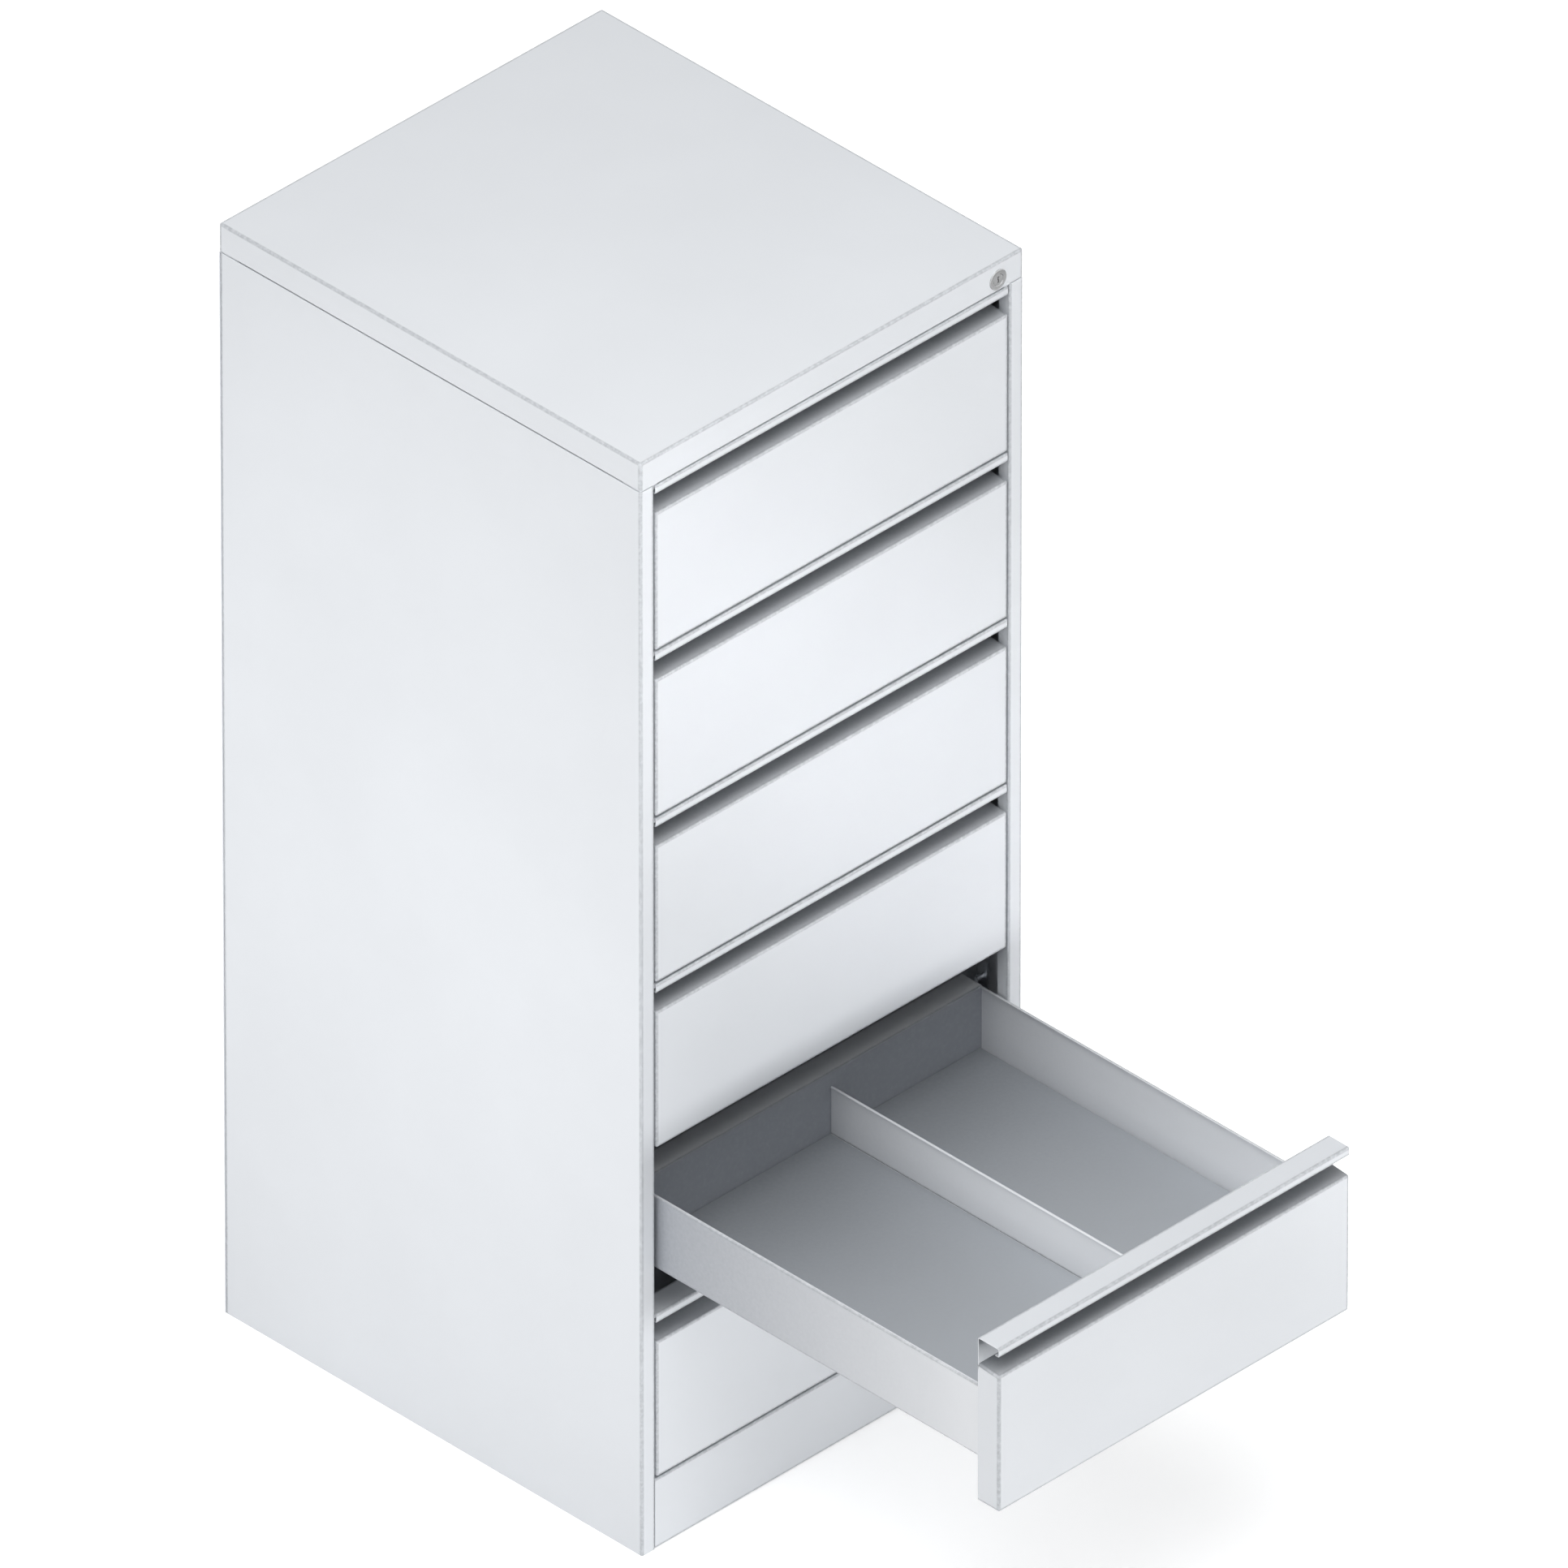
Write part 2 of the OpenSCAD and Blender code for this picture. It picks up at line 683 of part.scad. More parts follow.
module panel_screws() {
    color(zinc) {
        for (x = cap_screw_xs) translate([x, back_y, cap_screw_z]) panel_screw();
        for (z = back_screw_zs) both_sides() translate([back_screw_x, back_y, z]) panel_screw();
    }
}

// ---------------------------------------------------------------- assembly

left_side_panel();
right_side_panel();
back_panel();
top_cover();
top_rails();
base_frame();
base_panel();
plinth_panel();
levelling_feet();
rail_carriers();
fixed_rails();
stop_buffers();
panel_screws();
lock_housing();
lock_nut();
lock_plug();
lock_bar();
lock_bar_guides();
for (k = [1:drawers]) {
    drawer_front(k);
    drawer_liner(k);
    drawer_tray(k);
    drawer_divider(k);
    drawer_rails(k);
    drawer_hook(k);
    middle_rails(k);
}
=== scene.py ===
"""Card file cabinet in folded sheet steel: its pieces, finishes and studio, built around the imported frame."""
import logging
import math
from dataclasses import dataclass, field
from enum import Enum
from typing import Callable, Iterable, NamedTuple, Sequence

import bmesh
import bpy
from mathutils import Matrix, Quaternion, Vector


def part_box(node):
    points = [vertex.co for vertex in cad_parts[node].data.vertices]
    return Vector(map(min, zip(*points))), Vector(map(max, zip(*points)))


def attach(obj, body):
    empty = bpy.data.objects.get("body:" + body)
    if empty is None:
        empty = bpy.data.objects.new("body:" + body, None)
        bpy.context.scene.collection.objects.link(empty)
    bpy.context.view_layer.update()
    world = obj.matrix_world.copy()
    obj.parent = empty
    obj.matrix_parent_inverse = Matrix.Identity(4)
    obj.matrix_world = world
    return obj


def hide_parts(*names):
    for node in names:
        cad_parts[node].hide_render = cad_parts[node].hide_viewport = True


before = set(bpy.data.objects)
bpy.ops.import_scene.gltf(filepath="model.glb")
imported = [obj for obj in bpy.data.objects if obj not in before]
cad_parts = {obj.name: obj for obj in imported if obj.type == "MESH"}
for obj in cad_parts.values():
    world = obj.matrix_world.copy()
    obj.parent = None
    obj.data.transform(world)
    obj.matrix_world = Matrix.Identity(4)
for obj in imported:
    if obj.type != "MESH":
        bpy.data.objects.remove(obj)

log = logging.getLogger("card_cabinet")

MM = 0.001
NEAR = 0.05         # millimetres: the tolerance of a test, and the room or overlap of touching pieces
DRAWERS = 6
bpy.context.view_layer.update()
Point = tuple[float, float]
Place = tuple[float, float, float]


def extent(node: str) -> tuple[Vector, Vector]:
    """Gives the lowest and highest corners of a CAD node at rest, in millimetres."""
    lo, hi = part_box(node)
    return lo / MM, hi / MM


def new_object(name: str, data: bpy.types.ID) -> bpy.types.Object:
    """Makes an object at the origin and links it to the scene.

    Args:
        name: The object's name.
        data: Its mesh, lamp or camera.

    Returns:
        The object.
    """
    made = bpy.data.objects.new(name, data)
    bpy.context.scene.collection.objects.link(made)
    return made


# ------------------------------------------------------------------ colour and nodes

def linear(colour: str) -> tuple[float, float, float, float]:
    """Turns an sRGB hex colour into the linear colour that shaders use.

    Args:
        colour: The colour, such as "#DDE0E4".

    Returns:
        Red, green, blue and an alpha of 1.
    """
    parts = [int(colour[i:i + 2], 16) / 255 for i in (1, 3, 5)]
    red, green, blue = (p / 12.92 if p <= 0.04045 else ((p + 0.055) / 1.055) ** 2.4 for p in parts)
    return red, green, blue, 1.0


def add_node(tree: bpy.types.NodeTree, kind: str, inputs: dict[str | int, object] | None = None,
             **settings: object) -> bpy.types.Node:
    """Adds a node with its settings, input values and links.

    Args:
        tree: The node tree that gets the node.
        kind: The node's type name.
        inputs: Values, or sockets to link from, by the input's name or number.
        **settings: Properties of the node itself.

    Returns:
        The new node.
    """
    node = tree.nodes.new(kind)
    for name, value in settings.items():
        setattr(node, name, value)
    for key, value in (inputs or {}).items():
        if isinstance(value, bpy.types.NodeSocket):
            tree.links.new(value, node.inputs[key])
        else:
            node.inputs[key].default_value = value
    return node


# ------------------------------------------------------------------ finishes

def blank_material(name: str) -> tuple[bpy.types.Material, bpy.types.NodeTree, bpy.types.NodeSocket]:
    """Makes a material whose tree holds nothing but the object's coordinates.

    Args:
        name: The material's name.

    Returns:
        The material, its tree and the socket that gives the coordinates.
    """
    material = bpy.data.materials.new(name)
    material.use_nodes = True
    tree = material.node_tree
    tree.nodes.clear()
    return material, tree, add_node(tree, "ShaderNodeTexCoord").outputs["Object"]


@dataclass(frozen=True)
class Coating:
    """A finish, named for what the real one is and how its surface was made."""

    name: str
    colour: str

    def material(self) -> bpy.types.Material:
        """Makes the finish's material.

        Returns:
            The material.
        """
        material, tree, coords = blank_material(self.name)
        shader = add_node(tree, "ShaderNodeBsdfPrincipled", self.surface(tree, coords))
        add_node(tree, "ShaderNodeOutputMaterial", {"Surface": shader.outputs["BSDF"]})
        return material

    def surface(self, tree: bpy.types.NodeTree, coords: bpy.types.NodeSocket) -> dict[str, object]:
        """Builds the nodes of the surface.

        Args:
            tree: The material's node tree.
            coords: The object's coordinates, in metres.

        Returns:
            The shader's inputs by name, as values or sockets.
        """
        raise NotImplementedError


@dataclass(frozen=True)
class PowderCoat(Coating):
    """Polyester powder coat, sprayed on sheet steel and baked: satin, with a fine orange peel."""

    worn_colour: str
    # The colour of the painted shade in grips and drawer boxes.
    painted_shade_colour: str
    roughness: float = 0.44
    peel_mm: float = 2.2
    patch_mm: float = 180.0
    grain_per_m: float = 230.0
    wear: float = 0.6

    def surface(self, tree: bpy.types.NodeTree, coords: bpy.types.NodeSocket) -> dict[str, object]:
        """Builds the paint, with its peel, uneven sheen, painted shade and rubbed folds.

        Args:
            tree: The material's node tree.
            coords: The object's coordinates, in metres.

        Returns:
            The shader's inputs by name, as values or sockets.
        """
        # Orange peel: low soft bumps a couple of millimetres apart, left by the melting powder.
        peel = add_node(tree, "ShaderNodeTexNoise", {"Vector": coords, "Scale": 1 / (self.peel_mm * MM),
                                                     "Detail": 1.5, "Roughness": 0.45})
        bump = add_node(tree, "ShaderNodeBump", {"Height": peel.outputs["Fac"], "Strength": 0.2,
                                                 "Distance": 0.00005})
        # Film thickness drifts over the sheet, which shifts the tone and the sheen a little.
        drift = add_node(tree, "ShaderNodeTexNoise", {"Vector": coords, "Scale": 1 / (self.patch_mm * MM),
                                                      "Detail": 3.0, "Roughness": 0.5})
        tone = add_node(tree, "ShaderNodeMapRange", {"Value": drift.outputs["Fac"], "From Min": 0.3,
                                                     "From Max": 0.7, "To Min": 0.985, "To Max": 1.015})
        shade = add_node(tree, "ShaderNodeMix", {"Factor": 1.0, "A": linear(self.colour),
                                                 "B": tone.outputs["Result"]},
                         data_type="RGBA", blend_type="MULTIPLY")
        # Painted shade: a vertex attribute darkens the coat towards its shade colour in the grips and drawer
        # boxes, where shadow falls. A coarse grain breaks it up a little; it is drawn as coarse as it needs to
        # show.
        grain = add_node(tree, "ShaderNodeTexNoise", {"Vector": coords, "Scale": self.grain_per_m,
                                                      "Detail": 4.0, "Roughness": 0.65})
        painted_shade = add_node(tree, "ShaderNodeAttribute", attribute_name="painted_shade")
        shade_grain = add_node(tree, "ShaderNodeMapRange", {"Value": grain.outputs["Fac"], "From Min": 0.3,
                                                      "From Max": 0.7, "To Min": 0.94, "To Max": 1.04})
        depth = add_node(tree, "ShaderNodeMath", {0: painted_shade.outputs["Fac"], 1: shade_grain.outputs["Result"]},
                         operation="MULTIPLY", use_clamp=True)
        painted_shade_mix = add_node(tree, "ShaderNodeMix", {"Factor": depth.outputs["Value"],
                                                "A": shade.outputs["Result"],
                                                "B": linear(self.painted_shade_colour)}, data_type="RGBA")
        # Folds lose some gloss and colour where hands and drawers rub them.
        worn = add_node(tree, "ShaderNodeAttribute", attribute_name="worn")
        rubbed = add_node(tree, "ShaderNodeMapRange", {"Value": grain.outputs["Fac"], "From Min": 0.35,
                                                       "From Max": 0.6, "To Min": 0.45 * self.wear,
                                                       "To Max": self.wear})
        mask = add_node(tree, "ShaderNodeMath", {0: worn.outputs["Fac"], 1: rubbed.outputs["Result"]},
                        operation="MULTIPLY", use_clamp=True)
        colour = add_node(tree, "ShaderNodeMix", {"Factor": mask.outputs["Value"],
                                                  "A": painted_shade_mix.outputs["Result"],
                                                  "B": linear(self.worn_colour)}, data_type="RGBA")
        gloss = add_node(tree, "ShaderNodeMapRange", {"Value": grain.outputs["Fac"], "From Min": 0.3,
                                                      "From Max": 0.7, "To Min": self.roughness - 0.02,
                                                      "To Max": self.roughness + 0.03})
        return {"Base Color": colour.outputs["Result"], "Roughness": gloss.outputs["Result"],
                "Normal": bump.outputs["Normal"], "IOR": 1.5}


@dataclass(frozen=True)
class ZincPlate(Coating):
    """Bright electroplated zinc on pressed steel: a pale, faintly clouded metal."""

    cloud_colour: str
    roughness: float = 0.38
    cloud_mm: float = 9.0
    grit_per_m: float = 900.0

    def surface(self, tree: bpy.types.NodeTree, coords: bpy.types.NodeSocket) -> dict[str, object]:
        """Builds the plate, clouded and faintly gritty.

        Args:
            tree: The material's node tree.
            coords: The object's coordinates, in metres.

        Returns:
            The shader's inputs by name, as values or sockets.
        """
        # Passivation leaves soft clouds about a centimetre across.
        cloud = add_node(tree, "ShaderNodeTexNoise", {"Vector": coords, "Scale": 1 / (self.cloud_mm * MM),
                                                      "Detail": 3.0, "Roughness": 0.55})
        colour = add_node(tree, "ShaderNodeMix", {"Factor": cloud.outputs["Fac"], "A": linear(self.colour),
                                                  "B": linear(self.cloud_colour)}, data_type="RGBA")
        gloss = add_node(tree, "ShaderNodeMapRange", {"Value": cloud.outputs["Fac"], "From Min": 0.3,
                                                      "From Max": 0.7, "To Min": self.roughness - 0.07,
                                                      "To Max": self.roughness + 0.08})
        # The crystals dull the reflections. They are far finer, and are drawn as coarse as they need to show.
        grit = add_node(tree, "ShaderNodeTexNoise", {"Vector": coords, "Scale": self.grit_per_m,
                                                     "Detail": 2.0})
        bump = add_node(tree, "ShaderNodeBump", {"Height": grit.outputs["Fac"], "Strength": 0.2,
                                                 "Distance": 0.00003})
        return {"Base Color": colour.outputs["Result"], "Metallic": 1.0,
                "Roughness": gloss.outputs["Result"], "Normal": bump.outputs["Normal"]}


@dataclass(frozen=True)
class RolledSteel(Coating):
    """Cold-rolled slide steel: streaked along its length by the rolls and the running balls."""

    streak_colour: str
    roughness: float = 0.3
    streak_mm: float = 1.1
    streak_length_mm: float = 90.0

    def surface(self, tree: bpy.types.NodeTree, coords: bpy.types.NodeSocket) -> dict[str, object]:
        """Builds the steel, with streaks that run front to back.

        Args:
            tree: The material's node tree.
            coords: The object's coordinates, in metres.

        Returns:
            The shader's inputs by name, as values or sockets.
        """
        # The rolls' marks draw highlights out lengthwise. They are finer, and are drawn wide enough to show.
        fine, long = 1 / (self.streak_mm * MM), 1 / (self.streak_length_mm * MM)
        stretched = add_node(tree, "ShaderNodeMapping", {"Vector": coords, "Scale": (fine, long, fine)})
        streak = add_node(tree, "ShaderNodeTexNoise", {"Vector": stretched.outputs["Vector"], "Scale": 1.0,
                                                       "Detail": 3.0, "Roughness": 0.6})
        colour = add_node(tree, "ShaderNodeMix", {"Factor": streak.outputs["Fac"], "A": linear(self.colour),
                                                  "B": linear(self.streak_colour)}, data_type="RGBA")
        gloss = add_node(tree, "ShaderNodeMapRange", {"Value": streak.outputs["Fac"], "From Min": 0.3,
                                                      "From Max": 0.7, "To Min": self.roughness - 0.06,
                                                      "To Max": self.roughness + 0.1})
        bump = add_node(tree, "ShaderNodeBump", {"Height": streak.outputs["Fac"], "Strength": 0.3,
                                                 "Distance": 0.00004})
        return {"Base Color": colour.outputs["Result"], "Metallic": 1.0,
                "Roughness": gloss.outputs["Result"], "Normal": bump.outputs["Normal"]}


@dataclass(frozen=True)
class NickelPlate(Coating):
    """Nickel plate over turned brass: bright, with the turning rings still faintly there."""

    centre: Place
    roughness: float = 0.2
    ring_mm: float = 0.9
    smudges_per_m: float = 220.0

    def surface(self, tree: bpy.types.NodeTree, coords: bpy.types.NodeSocket) -> dict[str, object]:
        """Builds the plate, with rings round the lock's own axis and the smudges of fingers.

        Args:
            tree: The material's node tree.
            coords: The object's coordinates, in metres.

        Returns:
            The shader's inputs by name, as values or sockets.
        """
        centred = add_node(tree, "ShaderNodeMapping", {"Vector": coords,
                                                       "Location": tuple(-c for c in self.centre)})
        # The tool's rings catch the light in fine arcs. They lie closer, and are drawn wide enough to show.
        wave_period = 0.31      # of the wave node, at a scale of 1
        rings = add_node(tree, "ShaderNodeTexWave", {"Vector": centred.outputs["Vector"],
                                                     "Scale": wave_period / (self.ring_mm * MM),
                                                     "Distortion": 0.4, "Detail": 1.0},
                         wave_type="RINGS", rings_direction="Y")
        bump = add_node(tree, "ShaderNodeBump", {"Height": rings.outputs["Fac"], "Strength": 0.25,
                                                 "Distance": 0.00003})
        # Fingers leave patches of less gloss.
        smudge = add_node(tree, "ShaderNodeTexNoise", {"Vector": centred.outputs["Vector"],
                                                       "Scale": self.smudges_per_m, "Detail": 3.0})
        gloss = add_node(tree, "ShaderNodeMapRange", {"Value": smudge.outputs["Fac"], "From Min": 0.35,
                                                      "From Max": 0.7, "To Min": self.roughness - 0.04,
                                                      "To Max": self.roughness + 0.12})
        return {"Base Color": linear(self.colour), "Metallic": 1.0,
                "Roughness": gloss.outputs["Result"], "Normal": bump.outputs["Normal"]}


@dataclass(frozen=True)
class MouldedRubber(Coating):
    """Black moulded rubber with the dull bloom of a matt mould."""

    bloom_colour: str
    roughness: float = 0.78
    bloom_mm: float = 6.25

    def surface(self, tree: bpy.types.NodeTree, coords: bpy.types.NodeSocket) -> dict[str, object]:
        """Builds the rubber, clouded by its bloom.

        Args:
            tree: The material's node tree.
            coords: The object's coordinates, in metres.

        Returns:
            The shader's inputs by name, as values or sockets.
        """
        # The bloom greys the black in soft clouds, and the matt mould breaks its highlights up.
        bloom = add_node(tree, "ShaderNodeTexNoise", {"Vector": coords, "Scale": 1 / (self.bloom_mm * MM),
                                                      "Detail": 4.0})
        colour = add_node(tree, "ShaderNodeMix", {"Factor": bloom.outputs["Fac"], "A": linear(self.colour),
                                                  "B": linear(self.bloom_colour)}, data_type="RGBA")
        bump = add_node(tree, "ShaderNodeBump", {"Height": bloom.outputs["Fac"], "Strength": 0.3,
                                                 "Distance": 0.0001})
        return {"Base Color": colour.outputs["Result"], "Roughness": self.roughness,
                "Normal": bump.outputs["Normal"]}


class Finish(Enum):
    """The cabinet's finishes, each with the material slot that the record gives it."""

    BODY = "body_paint"
    TRAY = "tray_paint"
    ZINC = "zinc_plate"
    STEEL = "bright_steel"
    NICKEL = "lock_chrome"
    RUBBER = "black_rubber"


@dataclass
class FinishBook:
    """Makes each finish's material once and hands it out."""

    lock_centre: Place
    made: dict[str, bpy.types.Material] = field(default_factory=dict)

    def material(self, finish: Finish, floor: bool = False) -> bpy.types.Material:
        """Gives a finish's material.

        Args:
            finish: Which finish.
            floor: True for a drawer's bottom plates, whose darker coat is painted shade.

        Returns:
            The material, the same one each time.
        """
        key = "floor" if floor else finish.value
        if key not in self.made:
            self.made[key] = self.recipe(finish, floor).material()
        return self.made[key]

    def recipe(self, finish: Finish, floor: bool) -> Coating:
        """Gives the coating that makes a finish.

        Args:
            finish: Which finish.
            floor: True for the bottom plates' darker coat, which is painted shade.

        Returns:
            The coating.
        """
        if floor:
            # The bottom plates' darker grey paints the shade on a drawer's floor.
            return PowderCoat("floor_shade_powder_coat", "#A5A9AE", "#8F9398", "#72767B", roughness=0.5, wear=0.2)
        # The last colour of each powder coat is its painted shade.
        return {
            Finish.BODY: PowderCoat("light_grey_powder_coat", "#DDE0E4", "#8E9297", "#75797E"),
            Finish.TRAY: PowderCoat("pale_grey_powder_coat", "#E4E6E9", "#8E9297", "#9599A0",
                                    roughness=0.46),
            Finish.ZINC: ZincPlate("bright_zinc_plate", "#C6C9CC", "#AEB2B8"),
            Finish.STEEL: RolledSteel("cold_rolled_steel", "#A9ADB2", "#8C9095"),
            Finish.NICKEL: NickelPlate("nickel_plate", "#C9CACB", self.lock_centre),
            Finish.RUBBER: MouldedRubber("black_moulded_rubber", "#232325", "#38383A"),
        }[finish]


# ------------------------------------------------------------------ sheet-metal shapes

class Axis(Enum):
    """The axis along which a section is drawn out."""

    X = "x"
    Y = "y"
    Z = "z"

    def at(self, run: float, u: float, v: float) -> Vector:
        """Places a section's point.

        Args:
            run: Distance along the axis.
            u: First of the other two coordinates.
            v: Second of the other two.

        Returns:
            The point, in millimetres.
        """
        if self is Axis.X:
            return Vector((run, u, v))
        if self is Axis.Y:
            return Vector((u, run, v))
        return Vector((u, v, run))


class Knot(NamedTuple):
    """A point of a section, and how much a passing hand wears it."""

    u: float
    v: float
    worn: float = 0.0


def folded(line: Sequence[Point], gauge: float, inside: float = 0.8, steps: int = 5,
           guard: float = 1.6) -> list[Knot]:
    """Draws the closed section of a sheet that is folded along a line.

    Args:
        line: The middle of the sheet, from one cut edge to the other.
        gauge: The sheet's thickness.
        inside: The inside radius of each fold.
        steps: Facets in each fold.
        guard: Distance from a fold at which the flat sheet gets its own edge loop.

    Returns:
        The section's knots, once round.
    """
    points = [Vector(p) for p in line]
    ways = [(b - a).normalized() for a, b in zip(points, points[1:])]
    lengths = [(b - a).length for a, b in zip(points, points[1:])]
    left: list[Knot] = []
    right: list[Knot] = []

    def emit(spot: Vector, way: Vector, turn: float) -> None:
        """Adds a knot on each face of the sheet.

        Args:
            spot: The place in the middle of the sheet.
            way: The way that the sheet runs there.
            turn: How far the fold turns, in radians. Hands wear the face outside it.
        """
        side = Vector((-way.y, way.x)) * (gauge / 2)
        left.append(Knot(*(spot + side), 1.0 if turn < 0 else 0.0))
        right.append(Knot(*(spot - side), 1.0 if turn > 0 else 0.0))

    emit(points[0], ways[0], 0.0)
    used = 0.0
    for i in range(1, len(points) - 1):
        a, b = ways[i - 1], ways[i]
        turn = math.atan2(a.x * b.y - a.y * b.x, a.dot(b))
        radius = inside + gauge / 2
        reach = radius * math.tan(abs(turn) / 2)
        # A fold takes what the last one left, and half of the next flat, or all of it at the end.
        free = min(lengths[i - 1] - used, lengths[i] * (1.0 if i == len(points) - 2 else 0.5))
        room = 0.98 * free
        if reach > room:
            radius, reach = radius * room / reach, room
        start = points[i] - a * reach
        if lengths[i - 1] - used - reach > 2 * guard:
            emit(start - a * guard, a, 0.0)
        centre = start + Vector((-a.y, a.x)) * math.copysign(radius, turn)
        for k in range(steps + 1):
            way = Matrix.Rotation(turn * k / steps, 2) @ a
            emit(centre - Vector((-way.y, way.x)) * math.copysign(radius, turn), way, turn)
        if lengths[i] - reach > 2 * guard:
            emit(points[i] + b * (reach + guard), b, 0.0)
        used = reach
    emit(points[-1], ways[-1], 0.0)
    return left + right[::-1]


def rounded(lo: Point, hi: Point, radius: float, steps: int = 5, guard: float = 1.6) -> list[Knot]:
    """Draws a rectangle with round corners, and loops beside each corner.

    Args:
        lo: Its lowest corner.
        hi: Its highest corner.
        radius: The corner radius.
        steps: Facets in each corner.
        guard: Distance from a corner to the loop beside it.

    Returns:
        The knots, counter-clockwise.
    """
    knots: list[Knot] = []
    for quarter, (cu, cv) in enumerate(((hi[0] - radius, hi[1] - radius), (lo[0] + radius, hi[1] - radius),
                                        (lo[0] + radius, lo[1] + radius), (hi[0] - radius, lo[1] + radius))):
        turn = quarter * math.pi / 2
        out, along = Vector((math.cos(turn), math.sin(turn))), Vector((-math.sin(turn), math.cos(turn)))
        centre = Vector((cu, cv))
        knots.append(Knot(*(centre + out * radius - along * guard)))
        for k in range(steps + 1):
            angle = k / steps * math.pi / 2
            knots.append(Knot(*(centre + (out * math.cos(angle) + along * math.sin(angle)) * radius), 1.0))
        knots.append(Knot(*(centre + along * radius - out * guard)))
    return knots


def rectangle(lo: Point, hi: Point) -> list[Knot]:
    """Draws a plain rectangle from its lowest to its highest corner."""
    return [Knot(*lo), Knot(hi[0], lo[1]), Knot(*hi), Knot(lo[0], hi[1])]


def inset(knots: Sequence[Knot], depth: float) -> list[Knot]:
    """Moves a closed section's edges inwards.

    Args:
        knots: The section.
        depth: How far each edge moves.

    Returns:
        As many knots, moved.
    """
    area = sum(a.u * b.v - b.u * a.v for a, b in zip(knots, [*knots[1:], knots[0]]))
    inwards = math.copysign(1.0, area)
    spots = [Vector((knot.u, knot.v)) for knot in knots]
    same, sharpest = 1e-3, 0.5
    moved: list[Knot] = []

    def next_spot(start: int, way: int) -> Vector:
        """Gives the next knot's place, past any that lie on the start, forwards or back."""
        rest = (spots[(start + way * k) % len(spots)] for k in range(1, len(spots)))
        return next(spot for spot in rest if (spot - spots[start]).length > same)

    for i, (here, knot) in enumerate(zip(spots, knots)):
        a, b = (here - next_spot(i, -1)).normalized(), (next_spot(i, 1) - here).normalized()
        na, nb = Vector((-a.y, a.x)) * inwards, Vector((-b.y, b.x)) * inwards
        step = (na + nb) / max(1 + na.dot(nb), sharpest)
        moved.append(Knot(*(here + step * depth), knot.worn))
    return moved


